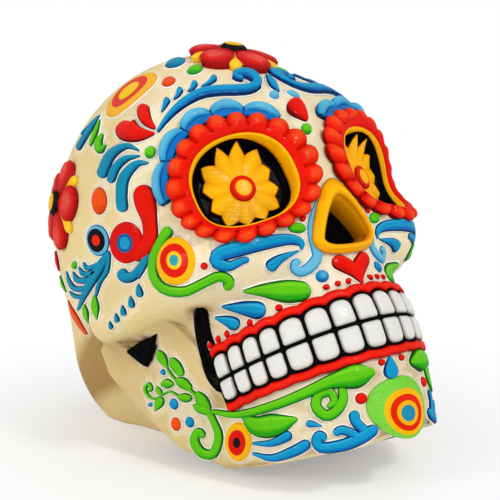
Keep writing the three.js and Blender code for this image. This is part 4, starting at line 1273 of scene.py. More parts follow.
def cloud_patch():
    """Strip over the rim: the outer edge swells in lobes, with a step between the inner band and the
    pillows."""
    u = np.linspace(0, 1, CLOUD_ROWS)[:, None]
    across, hidden = strip(15)
    lobe_share = np.abs(np.sin(CLOUD_LOBES * np.pi * u))
    angle = CLOUD_SPAN[0] + (CLOUD_SPAN[1] - CLOUD_SPAN[0]) * u - EYE_ROLL
    grown = CLOUD_CLEAR + across * CLOUD_WIDTH * (CLOUD_VALLEY + (1 - CLOUD_VALLEY) * lobe_share ** 0.7)
    radius = oval_radius(angle, RIM_SEMI) + grown
    foot, out = onto_skin(eye_plane(radius, angle, middle=RIM_AT))
    over = 2 * np.clip((across - CLOUD_STEP) / (1 - CLOUD_STEP), 0, 1) - 1
    pillow = np.sqrt(np.clip(1 - over ** 2, 0, 1)) * lobe_share ** 0.5
    band = 0.5 * (1 - ease((across - 0.36) / 0.1))
    face = CLOUD_STAND * (0.3 + np.maximum(band * 0.6, 0.7 * pillow))
    grid = drawn_to_points(foot + out * np.where(hidden, HIDDEN_BACK, face)[..., None])
    # The pillows turn lighter blue towards their crests, a painted highlight. The darker band under them is
    # partly a second blue and partly painted shade at their foot.
    paint = np.where(across < 0.4, 0.3, 0.45 + 0.55 * pillow)
    outline = (across > 0.95) | (np.abs(across - CLOUD_STEP) < 0.03) | (lobe_share < 0.1)
    paint = np.where(outline, 0.05, paint)
    return [(grid, uv_of(u, np.where(hidden, 0, paint)), False)]


cloud_paint = ramp_paint("cloud_paint", [(0, "082a55"), (0.12, "0a4684"), (0.25, "0668b4"), (0.4, "0c7cc0"),
                                         (0.6, "2698c8"), (1, "5cb4d4")], 0.3)
make_pair("brow_cloud", cloud_patch(), cloud_paint)

# %% [markdown]
# ## Nose
# A bevelled yellow frame goes round a black hollow. The frame is a ring on the skin, like the eye rims.
# The hollow is a bowl with a flat floor that sits inside it.

# %% Nose frame and hollow
NOSE_STAND, NOSE_RIDGE = 3.8, 0.25
FRAME_STEPS, HOLLOW_STEPS, HOLLOW_RINGS = 260, 160, 8
HOLLOW_WALL = np.array([0.25, 0.5, 0.75, 1])
HOLLOW_BACK = 1.5


def nose_point(angle, inset, y=NOSE_PLANE):
    """Point of the nose's plane on its outline, moved in by an inset."""
    x, z = nose_outline(angle, inset)
    return np.stack([x, 0 * x + y, z], -1)


def nose_frame_patch():
    """Ring between the outline and its inset, highest near the inside and bevelled outwards."""
    angle = full_turn(FRAME_STEPS)[:, None]
    across, hidden = strip(11)
    inner, outer = nose_point(angle, NOSE_WALL), nose_point(angle, 0)
    foot, out = onto_skin(inner + (outer - inner) * across[..., None])
    bevel = 1 - 0.55 * ease((across - NOSE_RIDGE) / (1 - NOSE_RIDGE))
    face = NOSE_STAND * bevel * (1 - 0.25 * ease((NOSE_RIDGE - across) / NOSE_RIDGE))
    grid = foot + out * np.where(hidden, HIDDEN_BACK, face)[..., None]
    return [(grid, uv_of(angle / (2 * np.pi), across), True)]


def nose_hollow_patch():
    """Bowl: floor rings drawn in to the outline's middle, then a wall out to the frame, and a back."""
    angle = full_turn(HOLLOW_STEPS)[None]
    floor_edge = nose_point(angle, NOSE_WALL + 1.0, NOSE_PLANE + NOSE_DEPTH)
    middle = np.array([0, NOSE_PLANE + NOSE_DEPTH, NOSE_WIDE + 3])
    floor = middle + np.linspace(0, 1, HOLLOW_RINGS)[:, None, None] * (floor_edge - middle)
    lip, out = onto_skin(nose_point(angle, NOSE_WALL - 0.2))
    wall = floor[-1:] + (lip + 1.5 * out - floor[-1:]) * HOLLOW_WALL[:, None, None]
    under, _ = onto_skin(nose_point(angle, NOSE_WALL - 2))
    back = np.stack([nose_point(angle, NOSE_WALL - 0.5, NOSE_PLANE + NOSE_DEPTH + HOLLOW_BACK)[0],
                     np.broadcast_to(middle + np.array([0, HOLLOW_BACK, 0]), floor_edge.shape[1:])])
    grid = np.concatenate([floor, wall, under, back])
    # The wall's yellow darkens towards the black floor: painted shade deeper in the hollow.
    paint = np.concatenate([np.zeros(HOLLOW_RINGS), [0.3, 0.6, 0.9, 1], np.ones(3)])
    return [(grid, uv_of(angle / (2 * np.pi), paint[:, None]), False)]


nose_paint = ramp_paint("nose_paint", [(0, "e08c04"), (0.12, "f2a404"), (0.3, "fcba08"), (0.8, "f4aa04"),
                                       (1, "cc7c04")], 0.22)
hollow_paint = ramp_paint("hollow_paint", [(0, "080808"), (0.1, "080808"), (0.2, "b07404"), (0.6, "dd9606"),
                                           (1, "f2a806")], 0.3, coat=BLACK_COAT)
make_piece("nose_frame", nose_frame_patch(), nose_paint, ("nose_rim",))
make_piece("nose_hollow", nose_hollow_patch(), hollow_paint, ())

# %% [markdown]
# ## Flowers
# One flower sits on the crown and one behind each temple: five red petals over a star of yellow leaves,
# with a button. Each layer is a rosette, a disc whose radius depends on the angle, laid on the skin about
# a place.

# %% Rosettes
TOP_FLOWER = np.radians([0, 63])
SIDE_FLOWER = np.radians([112, 32])
CROWN_RISE = 1.4
PETAL_TIP, PETAL_NOTCH, PETAL_STAND = 20.5, 11.5, 4.2
LEAF_TIP, LEAF_CORE, LEAF_STAND = 20, 8, 2.4
FLOWER_BUTTON_RADIUS, FLOWER_BUTTON_THICK = 5.4, 2.4


def rosette(place, edge_at, lift_at, paint_at, steps=200, rings=12, field=cranium):
    """Disc about a place: points of the tangent plane at ring times edge_at(angle) go to the skin, raised
    by lift_at(ring, angle). The last rows turn under. On the crown the whole disc stands a little
    higher."""
    rise = CROWN_RISE if place is TOP_FLOWER else 0
    middle, _ = onto_skin(CHART_CENTRE + chart(*place), field)
    out = normal_of(middle[None], field)[0]
    east = unit(np.cross((0, 0, 1), out))
    north = np.cross(out, east)
    ring = np.concatenate([np.linspace(0, 1, rings), [0.96, 0]])[:, None]
    angle = full_turn(steps)[None]
    r = ring * edge_at(angle)
    flat = middle + (r * np.cos(angle))[..., None] * east + (r * np.sin(angle))[..., None] * north
    foot, heading = onto_skin(flat, field)
    hidden = np.arange(rings + 2)[:, None] >= rings
    lift = np.where(hidden, HIDDEN_BACK, lift_at(ring, angle) + rise)
    grid = drawn_to_points(foot + heading * lift[..., None])
    paint = np.where(hidden, 0, paint_at(ring, angle))
    return [(grid, uv_of(angle / (2 * np.pi), np.clip(paint, 0, 1)), False)]


def petal_share(angle):
    """1 along the middle of each of the five petals and 0 between them."""
    return np.abs(np.cos(5 * (angle + np.pi / 2) / 2))


def petals_patch(place):
    """Petals swell towards their ends, with a groove along the middle of each."""
    def lift(ring, angle):
        share = petal_share(angle)
        round_edge = np.sqrt(np.clip(1 - ring ** 6, 0, 1))
        in_petal = ease((ring - 0.35) / 0.2) * (1 - ease((ring - 0.8) / 0.2))
        groove = 0.22 * np.exp(-((1 - share) / 0.012)) * in_petal
        return PETAL_STAND * (0.45 + 0.55 * round_edge * share ** 0.35 - groove) * (1 - 0.25 * (1 - ring))

    # The petals are lighter pink along their middles, a painted highlight, and darker red between them and
    # towards their ends, painted shade.
    def paint(ring, angle):
        share = petal_share(angle)
        return 0.15 + 0.75 * share ** 1.5 * ease((ring - 0.25) / 0.4) * (1 - ease((ring - 0.85) / 0.15))

    edge = lambda angle: PETAL_NOTCH + (PETAL_TIP - PETAL_NOTCH) * petal_share(angle) ** 0.55
    return rosette(place, edge, lift, paint, 260)


def leaves_patch(place):
    """Leaves show between the petals: the radius grows by a cosine to a power, midway between two
    petals."""
    wave = lambda angle: np.maximum(-np.cos(5 * (angle + np.pi / 2)), 0) ** 0.7
    edge = lambda angle: LEAF_CORE + (LEAF_TIP - LEAF_CORE) * wave(angle)
    lift = lambda ring, angle: LEAF_STAND * (0.5 + 0.5 * np.sqrt(1 - ring ** 4)) + 0 * angle
    return rosette(place, edge, lift, lambda ring, angle: 0.2 + 0.8 * ring * wave(angle))


def flower_button_patch(place):
    """Dome on the petals, with a black ring round its foot."""
    lift = lambda ring, angle: PETAL_STAND * 0.75 + FLOWER_BUTTON_THICK * (1 - 0.7 * ring ** 4) + 0 * angle
    edge = lambda angle: FLOWER_BUTTON_RADIUS + 0 * angle
    return rosette(place, edge, lift, lambda ring, angle: ring + 0 * angle, 64, 9)


petal_red = ramp_paint("petal_red", [(0, "8e0c0c"), (0.3, "c01414"), (0.6, "d8231c"), (1, "e25a4c")], 0.3)
leaf_yellow = ramp_paint("leaf_yellow", [(0, "d08a08"), (0.5, "f0b40e"), (1, "f6c830")], 0.3)
dome_yellow = ramp_paint("dome_yellow", [(0, "f4c22a"), (0.66, "eab008"), (0.74, "141210"), (1, "0e0c0a")])
layers = (("flower_petals", petals_patch, petal_red, "painted_red"),
          ("flower_leaves", leaves_patch, leaf_yellow, "painted_yellow"),
          ("flower_button", flower_button_patch, dome_yellow, "painted_yellow"))
for name, patch_of, paint, slot in layers:
    make_piece(f"{name}_top", patch_of(TOP_FLOWER), paint, (f"{name}_top",))
    make_pair(name, patch_of(SIDE_FLOWER), paint)

# %% [markdown]
# ## The larger scrolls
# A few strokes stand out far enough to be pieces of their own on the real skull: the scrolls over the
# brows, the drop between them, the long leaf along the jaw and the target on the chin. They are strokes
# and a rosette.

# %% Brow scrolls, forehead drop, jaw leaves and chin roundel
BROW_SCROLL = [(158, 133), (169, 118), (183, 105), (201, 95), (221, 92), (240, 91.5), (251, 89.5),
               (257, 85), (253, 78), (243, 74.5), (235, 77), (243, 81.5)]
BROW_SCROLL_WIDTHS = [1, 2.5, 3.6, 4.2, 4.2, 4.2, 4.4, 4.6, 4.4, 4, 3.6, 2]
BROW_SCROLL_STAND, FOREHEAD_DROP_STAND, JAW_LEAF_STAND = 1.9, 2.3, 2.6
FOREHEAD_DROP = [(288, 102.5), (293, 107), (298.5, 112.5), (306.5, 121.5)]
FOREHEAD_DROP_WIDTHS = [6, 7.6, 6.6, 1.6]
JAW_LEAF = [(212, 411), (240, 414), (275, 405), (305, 393), (330, 382), (356, 376), (374, 372)]
JAW_LEAF_WIDTHS = [2, 3.4, 4.4, 5, 6.4, 11, 3]
CHIN_ROUNDEL = np.radians([0, -51.6])
CHIN_RADIUS = 13.0
CHIN_REACH = dict(right=1.34, left=1.08, up=1.02, down=0.84)
CHIN_RING_STRETCH = 1.2
CHIN_STAND = 2.2

scroll = stroke(BROW_SCROLL, BROW_SCROLL_WIDTHS, BROW_SCROLL_STAND, cranium)
drop = stroke(FOREHEAD_DROP, FOREHEAD_DROP_WIDTHS, FOREHEAD_DROP_STAND, cranium)
leaf = stroke(JAW_LEAF, JAW_LEAF_WIDTHS, JAW_LEAF_STAND)
make_pair("brow_scroll", scroll, blue_paint)
make_piece("forehead_drop_relief", drop, red_paint, ("forehead_drop",))
make_pair("jaw_leaf", leaf, green_paint)


def chin_edge(angle):
    """Shield: an oval whose four half axes differ. The angle starts at the skull's left and turns
    upwards."""
    wide = np.where(np.cos(angle) > 0, CHIN_REACH["left"], CHIN_REACH["right"])
    tall = np.where(np.sin(angle) > 0, CHIN_REACH["up"], CHIN_REACH["down"])
    return CHIN_RADIUS / np.hypot(np.cos(angle) / wide, np.sin(angle) / tall)


def chin_ring(ring, angle):
    """Paint value: the distance from the middle, less by a factor sideways, over twice the radius. It is
    1 at the edge."""
    share = ring * chin_edge(angle) * np.hypot(np.cos(angle) / CHIN_RING_STRETCH, np.sin(angle))
    return np.where(ring > 0.97, 1, share / (2 * CHIN_RADIUS))


chin_paint = ramp_paint("chin_paint", [(0, "1c86a8"), (0.12, "f2ae04"), (0.18, "dd2204"), (0.27, "f4b408"),
                                       (0.35, "78cc3e"), (0.9, "3a8a20")], 0.3, sharp=True)
chin_lift = lambda ring, angle: CHIN_STAND * (1 - 0.8 * ring ** 3) + 0 * angle
chin_target = rosette(CHIN_ROUNDEL, chin_edge, chin_lift, chin_ring, 96, 34, jaw_face)
make_piece("chin_target", chin_target, chin_paint, ("chin_roundel",))

# %% [markdown]
# ## Smaller ornament
# The rest is brush work over low relief: drops, commas, leaves, vines and dots. Each line below names one
# stroke, its colour, its path in the picture and its widths in millimetres. One piece holds all the
# strokes of a colour, with their mirror images on the side that the picture doesn't show.

# %% Ornament near the picture's outline
STEEPEST = 0.42
EDGE_ON = ("temple_drop", "temple_sliver", "temple_leaf", "feather_leaf_3", "flower_leaf", "nape_leaf")


def spread_about(anchor):
    """Mapping for ornament that the picture shows edge on. Picture points go to the skin's tangent plane
    at the anchor: straight over along the line that isn't foreshortened, and stretched by 1 over the
    foreshortening across it, up to a limit. From there they go to the skin."""
    middle = under_pixels(np.array([anchor]), skin)[0]
    out = normal_of(middle[None], skin)[0]
    to_camera = lean_back(view_place) - middle
    sight = unit(to_camera)
    level = unit(np.cross(out, sight))
    climb = np.cross(out, level)
    seen_climb = unit(climb - (climb @ sight) * sight)
    right, up = lean_back(np.stack([view_right, view_up]) + HEAD_ORIGIN)
    scale = np.linalg.norm(to_camera) / FOCAL_PIXELS
    stretch = 1 / max(out @ sight, STEEPEST)

    def onto(pixels, field):
        offset = scale * (np.asarray(pixels, float) - anchor)
        flat = offset[..., :1] * right - offset[..., 1:] * up
        moved = (flat @ level)[..., None] * level + stretch * (flat @ seen_climb)[..., None] * climb
        foot, _ = onto_skin(middle + moved)
        return foot, normal_of(foot, field)

    return onto


print("Strokes seen edge on:", len(EDGE_ON), "stretched by at most %.1f" % (1 / STEEPEST))

# %% Strokes on the forehead and the temple
forehead_strokes = {
    "brow_drop_1": ("blue", [(162, 113), (165, 107), (168.5, 99)], [0.6, 2, 3.4]),
    "brow_drop_2": ("blue", [(174, 100.5), (178, 96), (181.5, 89)], [0.6, 2, 3.4]),
    "brow_drop_3": ("blue", [(188, 92.5), (192.5, 89), (196, 82.5)], [0.6, 2, 3.6]),
    "brow_drop_4": ("blue", [(201.5, 87.5), (209, 84), (216, 77.5)], [0.6, 2, 3.6]),
    "temple_drop": ("teal", [(100, 115), (90, 131), (77, 149)], [0.5, 3.2, 4]),
    "temple_sliver": ("teal", [(99, 117), (90, 127), (81, 134)], [0.4, 1.2, 1.8]),
    "temple_plume_1": ("teal", [(140, 151), (127, 146.5), (111.5, 156), (101.5, 178)],
                       [0.8, 2.8, 4.6, 4.8]),
    "temple_plume_2": ("teal", [(140.5, 156), (127, 159), (117, 168), (111, 183)], [0.8, 3, 3.8, 3.6]),
    "temple_plume_3": ("teal", [(149, 163), (137, 164.5), (125, 178), (122.5, 196), (124, 212)],
                       [1, 3.4, 5, 5, 5]),
    "temple_leaf": ("green", [(100, 119.5), (96.5, 133), (91, 146)], [0.5, 2.2, 1]),
    "temple_crescent": ("green", [(103.5, 134), (99.5, 143), (101, 150), (107, 145.5)],
                        [1.2, 3.6, 3.8, 0.8]),
    "temple_comma": ("red", [(123.5, 122), (127.5, 129.5), (139, 134.5), (155, 134)], [8.4, 11, 7, 1.4]),
    "temple_small_comma": ("red", [(148.5, 106.5), (144, 112.5), (147.5, 121.5), (155.5, 129.5)],
                           [5, 6, 4.8, 1.4]),
}
print("Forehead and temple:", len(forehead_strokes), "strokes on each side")

# %% Strokes on the side of the head
side_strokes = {
    "side_comma": ("red", [(142, 185), (146, 203), (150, 221), (150.5, 238), (143, 251), (132, 258)],
                   [8.8, 9.6, 7, 7, 7.6, 5]),
    "side_hook": ("teal", [(123, 268.5), (125, 277), (135.5, 275), (146, 259), (154.5, 238)],
                  [4.6, 5, 4.4, 2.4, 0.6]),
    "side_sliver": ("teal", [(139.5, 279), (146, 266), (152, 254)], [0.5, 1.8, 0.8]),
    "feather_stem": ("teal", [(110, 251), (102, 265), (90, 285), (78.5, 310)], [1.6, 4.4, 4, 0.9]),
    "feather_side": ("teal", [(110.5, 253), (108, 270), (101, 282), (97, 296)], [1.2, 2, 1.8, 1]),
    "feather_frond_1": ("teal", [(84.5, 262), (89, 268), (103, 262)], [0.5, 2.2, 1.6]),
    "feather_frond_2": ("teal", [(80, 267), (86, 274), (99, 271)], [0.5, 2.4, 1.8]),
    "feather_frond_3": ("teal", [(74, 271.5), (80, 280), (94.5, 279)], [0.5, 2.6, 2]),
    "feather_frond_4": ("teal", [(67.5, 271), (71, 282), (77, 288.5), (89, 288)], [0.4, 1.6, 2.4, 2]),
    "feather_frond_5": ("teal", [(70.5, 291), (77, 296), (86.5, 296.5)], [0.4, 1.8, 1.6]),
    "feather_leaf_1": ("green", [(95.5, 295), (96.5, 307), (97.5, 319.5)], [1.2, 3.4, 0.5]),
    "feather_leaf_2": ("green", [(85.5, 304), (87, 313), (89, 322.5)], [0.8, 2.4, 0.4]),
    "feather_leaf_3": ("green", [(60, 275.5), (64, 284), (69, 291)], [0.8, 2.2, 0.5]),
    "flower_leaf": ("red", [(55, 251), (58.5, 261), (61.5, 270.5)], [1.6, 3.4, 1.4]),
    "nape_leaf": ("orange", [(67.5, 300), (76, 316), (85, 335)], [0.8, 5, 2]),
}
drop_tips = [(139.3, 284), (131.2, 296), (123.1, 305), (116.5, 313), (110.4, 321)]
for number, (x, y) in enumerate(drop_tips):
    size = 1 - 0.11 * number
    path = [(x, y), (x + 1, y + 6 * size), (x + 2, y + 13 * size)]
    side_strokes[f"side_drop_{number + 1}"] = ("teal", path, [0.4, 2.6 * size, 3.2 * size])
print("Side of the head:", len(side_strokes), "strokes on each side")

# %% Strokes on the cheek and round the nose
cheek_strokes = {
    "cheek_scroll": ("blue", [(301.5, 250), (300, 242.5), (287, 239.5), (261.5, 243.5), (236, 249.5),
                              (218.5, 255), (218, 263), (229, 266), (241, 261), (249, 259)],
                     [1, 3.6, 5, 6.4, 7, 6.8, 6, 4.6, 3.4, 2.4]),
    "cheek_drop": ("blue", [(299, 250.5), (279, 259), (267, 269)], [0.6, 4, 6.6]),
    "cheek_vine": ("green", [(171, 228), (163, 240), (154.5, 258), (155, 277), (166, 289), (185, 291),
                             (203, 283), (219, 276), (229, 281), (225, 289)],
                   [6.5, 4.5, 4, 4.4, 4.8, 4.6, 4.4, 4.6, 5, 4]),
    "cheek_leaf": ("green", [(243, 291), (263, 290), (287, 291.5), (311, 291.5)], [1.2, 6, 10.4, 8]),
    "cheek_drop_2": ("blue", [(221.5, 306), (245, 308), (266, 312)], [1, 6.6, 9]),
    "cheek_drop_3": ("blue", [(215, 317), (229, 321), (239.5, 327)], [1, 5.2, 7.2]),
    "nose_line": ("sky", [(329, 181), (319, 199), (311, 219), (310, 234), (314, 248), (317, 257),
                          (309.5, 267.5), (300.5, 272), (294, 268.5), (295, 262.5), (300.5, 262)],
                  [1.6, 2.2, 2.4, 2.6, 3.4, 5, 5, 4.6, 4, 3.6, 2.4]),
    "heart_half": ("red", [(331.5, 260), (343, 264.5), (354, 272), (362.5, 284)], [6, 7, 5.4, 1]),
}
print("Cheek and nose:", len(cheek_strokes), "strokes on each side")

# %% Strokes on the jaw
jaw_strokes = {
    "vine_leaf_1": ("green", [(159, 349.5), (163, 358), (168.5, 368.5)], [1.6, 4.4, 0.8]),
    "vine_leaf_2": ("green", [(171.5, 357.5), (177, 366), (183.5, 375.5)], [2.6, 5, 3]),
    "vine_leaf_3": ("green", [(176.5, 379), (184, 383), (192.5, 389.5)], [2, 5, 2.6]),
    "vine_leaf_4": ("green", [(161.5, 383.5), (168, 383.5), (174.5, 384.5)], [1.6, 4.4, 1.6]),
    "vine_leaf_5": ("green", [(178, 395), (185, 397.5), (193, 398)], [1, 4.2, 2.6]),
    "vine_leaf_6": ("green", [(157.5, 386), (160, 391), (162.5, 395.5)], [0.5, 2.4, 1.2]),
    "vine_leaf_7": ("green", [(162, 396.5), (160, 403), (155.5, 411)], [2.6, 4.2, 0.5]),
    "vine_leaf_8": ("green", [(197, 391.5), (203, 400), (210, 411)], [2, 5.4, 3.4]),
    "vine_leaf_9": ("green", [(193.5, 404.5), (201, 408), (210, 413)], [0.8, 4.2, 3]),
    "vine_stem_1": ("green", [(168.5, 368.5), (176.5, 379), (192, 390), (199, 397)], [0.9, 1, 1.2, 1.2]),
    "vine_stem_2": ("green", [(162.5, 395), (170.5, 391.5), (178.5, 395)], [0.9, 1, 0.9]),
    "vine_curl": ("green", [(161, 397), (152, 398), (146, 389.5), (149.5, 383.5), (152.5, 388.5),
                            (149, 391)], [0.8, 1.2, 1.4, 1.5, 1.5, 1.3]),
    "vine_hook": ("green", [(207, 408), (214, 420), (219.5, 436), (214, 453), (202, 452), (195, 440),
                            (199.5, 432), (205, 437)], [3.4, 3.2, 4, 4.6, 4.6, 4.4, 4.2, 3.2]),
    "leaf_curl": ("green", [(341, 386), (343, 399), (336, 411), (325.5, 415.5), (316, 406), (319.5, 394.5),
                            (330.5, 392.5), (334, 402), (327, 407)],
                  [3.6, 4.6, 5, 5, 5, 4.6, 4.2, 3.4, 2.4]),
    "under_leaf": ("green", [(243, 415), (258, 425.5), (277, 424.5), (298, 418.5)], [2, 9.2, 10, 1.4]),
    "jaw_drop_1": ("blue", [(253, 443), (273, 442.5), (292, 433.5)], [1.2, 3.4, 5]),
    "jaw_drop_2": ("blue", [(253, 453), (273, 457.5), (294, 451), (310, 442)], [1.2, 3.4, 5, 5]),
    "jaw_hook": ("blue", [(326, 440), (320, 435), (317, 441), (323, 447.5), (344, 444.5), (362, 437),
                          (377, 427)], [3.6, 4.4, 5, 5, 5.4, 6, 5]),
    "jaw_plume_1": ("blue", [(333.5, 434), (342.5, 430), (358, 436)], [3.4, 4.2, 4.2]),
    "jaw_plume_2": ("blue", [(353.5, 410.5), (356, 422), (367.5, 433)], [5.2, 4.6, 4.4]),
    "jaw_drop_3": ("blue", [(306, 423.5), (313, 424), (322, 426)], [3.4, 2.8, 0.6]),
}
print("Jaw:", len(jaw_strokes), "strokes on each side")

# %% Dots
dots = {
    "brow_dot": ("sky", (274, 95.5), (2.3, 1.7), 20),
    "crown_oval_1": ("teal", (175.5, 63.5), (4.7, 1.9), -17),
    "crown_oval_2": ("green", (195, 70.5), (3.6, 1.9), -17),
    "crown_oval_3": ("orange", (169, 82.5), (3.2, 1.9), -22),
    "cloud_dot": ("green", (150.5, 152.5), (2.4, 2.8), 20),
    "temple_oval": ("orange", (100, 201), (3.5, 6.1), 0),
    "feather_dot": ("green", (75.5, 265), (1, 1.8), 0),
    "nose_oval": ("green", (296.5, 228), (4.1, 2.4), 5),
    "nose_dot": ("red", (302.5, 219), (1.5, 1.2), -30),
    "cheek_dot": ("red", (204.3, 266), (1.6, 1.6), 0),
    "cheek_ball": ("blue", (322, 276.5), (2.9, 2.7), 0),
    "gum_dot_1": ("red", (279, 308), (1.7, 1.6), 0),
    "gum_dot_2": ("red", (250, 323), (1.3, 1.7), 0),
    "gum_dot_3": ("red", (227.5, 334), (1.1, 1.7), -10),
    "gum_dot_4": ("red", (219, 339), (1, 1.7), -10),
    "gum_dot_5": ("red", (211.3, 345.5), (1, 1.8), -10),
    "gum_dot_6": ("red", (326, 287.5), (1.6, 1.3), -10),
    "gum_dot_7": ("red", (337.5, 284), (1.4, 1.3), 0),
    "gum_dot_8": ("red", (348, 281.5), (1.3, 1.4), 0),
    "vine_dot_1": ("blue", (163.8, 372), (1, 1.4), -20),
    "vine_dot_2": ("blue", (151, 404.5), (0.9, 1), 0),
    "vine_dot_3": ("blue", (174.5, 404), (1.9, 2.5), -20),
    "vine_dot_4": ("blue", (190.3, 422), (1.9, 2.4), -20),
    "vine_oval": ("orange", (176.4, 424), (2.1, 3.1), -10),
    "jaw_dot": ("red", (361, 398.5), (2.7, 2.5), 0),
    "chin_dot": ("red", (381, 362.5), (1.5, 1.5), 0),
}
# Like the other stroke paints, its deep colour is painted shade below and its light colour painted light
# above, over two tones of blue.
sky_paint = stroke_paint("sky_paint", "2f7fae", "4fa6cc", "62b4d6", "78c2de")
paints = {"blue": blue_paint, "teal": teal_paint, "sky": sky_paint, "green": green_paint,
          "red": red_paint, "orange": orange_paint}
slots = {"teal": "painted_blue", "sky": "painted_blue"}
strokes = {**forehead_strokes, **side_strokes, **cheek_strokes, **jaw_strokes}
for colour, paint in paints.items():
    patches = []
    for name, (kind, path, widths) in strokes.items():
        if kind == colour:
            onto = spread_about(path[len(path) // 2]) if name in EDGE_ON else face_under
            patches += stroke(path, widths, onto=onto)
    patches += [patch for kind, at, semi, turned in dots.values() if kind == colour
                for patch in oval(at, semi, turned)]
    slot = slots.get(colour, f"painted_{colour}")
    make_piece(f"{colour}_ornament", patches + mirrored(patches), paint, ())
midline = stroke([(266, 75.5), (272, 84), (279, 92.5)], [1, 3.4, 0.8])
midline += stroke([(389, 356), (390, 368), (391, 379)], [0.8, 6, 7])
make_piece("blue_midline", midline, blue_paint, ())
make_piece("green_midline", oval((306, 129.5), (2.2, 2.6), -30), green_paint, ())

# %% [markdown]
# ## Roundels
# Round targets in flat rings of colour. They are ovals whose UV map runs from the middle to the edge, so
# one ramp with hard steps gives all the rings.

# %% Roundels
ROUNDEL_RINGS, ROUNDEL_DOME = 26, 6.0
PALE_LINE = FACE_SHARE + 0.01
roundels = {
    "temple_roundel": ((130.5, 92.5), (14.2, 6.4), -41, "painted_yellow",
                       [(0, "f4c20e"), (0.36, "d98a1c"), (0.4, "dd3a2a"), (0.68, "f0b02c"),
                        (0.96, "e09a20")]),
    "cheek_roundel": ((176, 261), (8.8, 10.6), 0, "painted_yellow",
                      [(0, "2aa0a8"), (0.22, "f6c40e"), (0.36, "e01a0a"), (0.68, "f8b80c"),
                       (0.97, "e8a408")]),
    "side_roundel": ((98.5, 240.3), (5.1, 7), -10, "painted_blue",
                     [(0, "e8230f"), (0.34, "0c0c0d"), (0.74, "5fb2d8"), (0.94, "0b2f5c")]),
    "comma_roundel": ((127, 242.5), (7.5, 9.3), 0, "painted_red",
                      [(0, "1f93bc"), (0.3, "0d5a9c"), (0.46, "c40a08"), (0.5, "d80d08"),
                       (0.97, "a00a06")]),
    "jaw_roundel": ((239, 441.5), (6, 8.8), 0, "painted_yellow",
                    [(0, "100c0a"), (0.27, "dd1408"), (0.64, "f6b60c"), (0.97, "e0a008")]),
}
for name, (at, semi, turned, slot, rings) in roundels.items():
    onto = spread_about(at) if name == "temple_roundel" else face_under
    target = oval(at, semi, turned, STROKE_STAND, ROUNDEL_RINGS, False, ROUNDEL_DOME, onto)
    steps = [(FACE_SHARE * place, code) for place, code in rings] + [(PALE_LINE, PALE)]
    make_pair(name, target, ramp_paint(f"{name}_paint", steps, 0.12, sharp=True), False)

# %% [markdown]
# ## Wash, painted shade and margin on the castings
# Now that all the ornament is there, its points are counted in small boxes of space and the counts are
# blurred. What the blur says at the castings' points is the pale margin, and the cream is also mixed
# paler towards the front of the face. The tan in the hollows, partly wiped on and partly painted shade,
# is found from the formula: in a hollow, going out from the skin doesn't take a point as far away from it
# as on a bulge. It also gathers round the slit and the notch, as painted shade there.

# %% Wash, painted shade and margin
WASH_AND_SHADE_REACH, WASH_AND_SHADE_BY_HOLLOWS, HOLLOW_RUN = 5.0, 0.9, 0.5
BOX_SIDE, BOX_ROOM = 1.5, 12
MARGIN_BLUR, MARGIN_START, MARGIN_RUN = 1.0, 0.08, 0.2
MARGIN_STRENGTH = 0.35
FACE_PALE, FACE_START, FACE_FADE = 0.32, -22.0, 36.0
PROBE = 7.0


def points_of(piece):
    """A piece's points in the skull frame, in millimetres."""
    flat = np.empty(3 * len(piece.data.vertices), np.float32)
    piece.data.vertices.foreach_get("co", flat)
    return lean_back(flat.reshape(-1, 3) * 1000.0)


castings = (cranium_piece, jaw_piece)
ornament_names = [name for name in made_pieces if "casting" not in name]
ornament = np.concatenate([points_of(bpy.data.objects[name]) for name in ornament_names])
box_start = ornament.min(0) - BOX_ROOM
box_counts = np.ceil((ornament.max(0) + BOX_ROOM - box_start) / BOX_SIDE).astype(int)


def box_of(p):
    """Numbers of the boxes that points lie in, kept within the counted space."""
    return tuple(np.clip(((p - box_start) / BOX_SIDE).astype(int), 0, box_counts - 1).T)


filled = np.zeros(box_counts)
filled[box_of(ornament)] = 1
waves = [np.exp(-2 * (np.pi * np.fft.fftfreq(count) * MARGIN_BLUR) ** 2) for count in box_counts]
kept_waves = waves[0][:, None, None] * waves[1][None, :, None] * waves[2]
blurred = np.fft.ifftn(np.fft.fftn(filled) * kept_waves).real
for casting in castings:
    p = points_of(casting)
    n = normal_of(p, skin)
    # The tan gathers in hollows and round the slit and the notch: partly wiped-on tan, partly painted
    # shade.
    hollow = ease((1.0 - skin(p + PROBE * n) / PROBE) / HOLLOW_RUN)
    for path, radius in hollow_paths:
        near = ease(1 - (path_distance(p, path) - radius) / WASH_AND_SHADE_REACH)
        hollow = np.maximum(hollow, WASH_AND_SHADE_BY_HOLLOWS * near)
    face = FACE_PALE * ease((FACE_START - p[:, 1]) / FACE_FADE) * (1 - hollow)
    by_ornament = MARGIN_STRENGTH * ease((blurred[box_of(p)] - MARGIN_START) / MARGIN_RUN)
    margin = 1 - (1 - face) * (1 - by_ornament)
    for key, values in (("margin", margin), ("wash_and_shade", hollow)):
        layer = casting.data.attributes.new(key, "FLOAT", "POINT")
        layer.data.foreach_set("value", values.astype(np.float32))
    print(casting.name, "mean margin %.2f, mean wash %.2f" % (margin.mean(), hollow.mean()))

# %% [markdown]
# ## Stage
# A studio table in front of a white wall, lit by a soft lamp, a weaker one on the other side and even
# light from all round. The floor turns white away from the skull, for camera rays only, so that its
# shadow stays under it and no horizon shows.

# %% Floor, light and camera
FLOOR_REACH = 6.0
SHADOW_REACH = (-0.06, 0.22)
AMBIENT = 0.56
KEY_LAMP = dict(energy=8, size=0.2, shift=(0.75, 0.85, 0.9))
FILL_LAMP = dict(energy=4.5, size=0.25, shift=(-0.9, 0.35, 0.8))


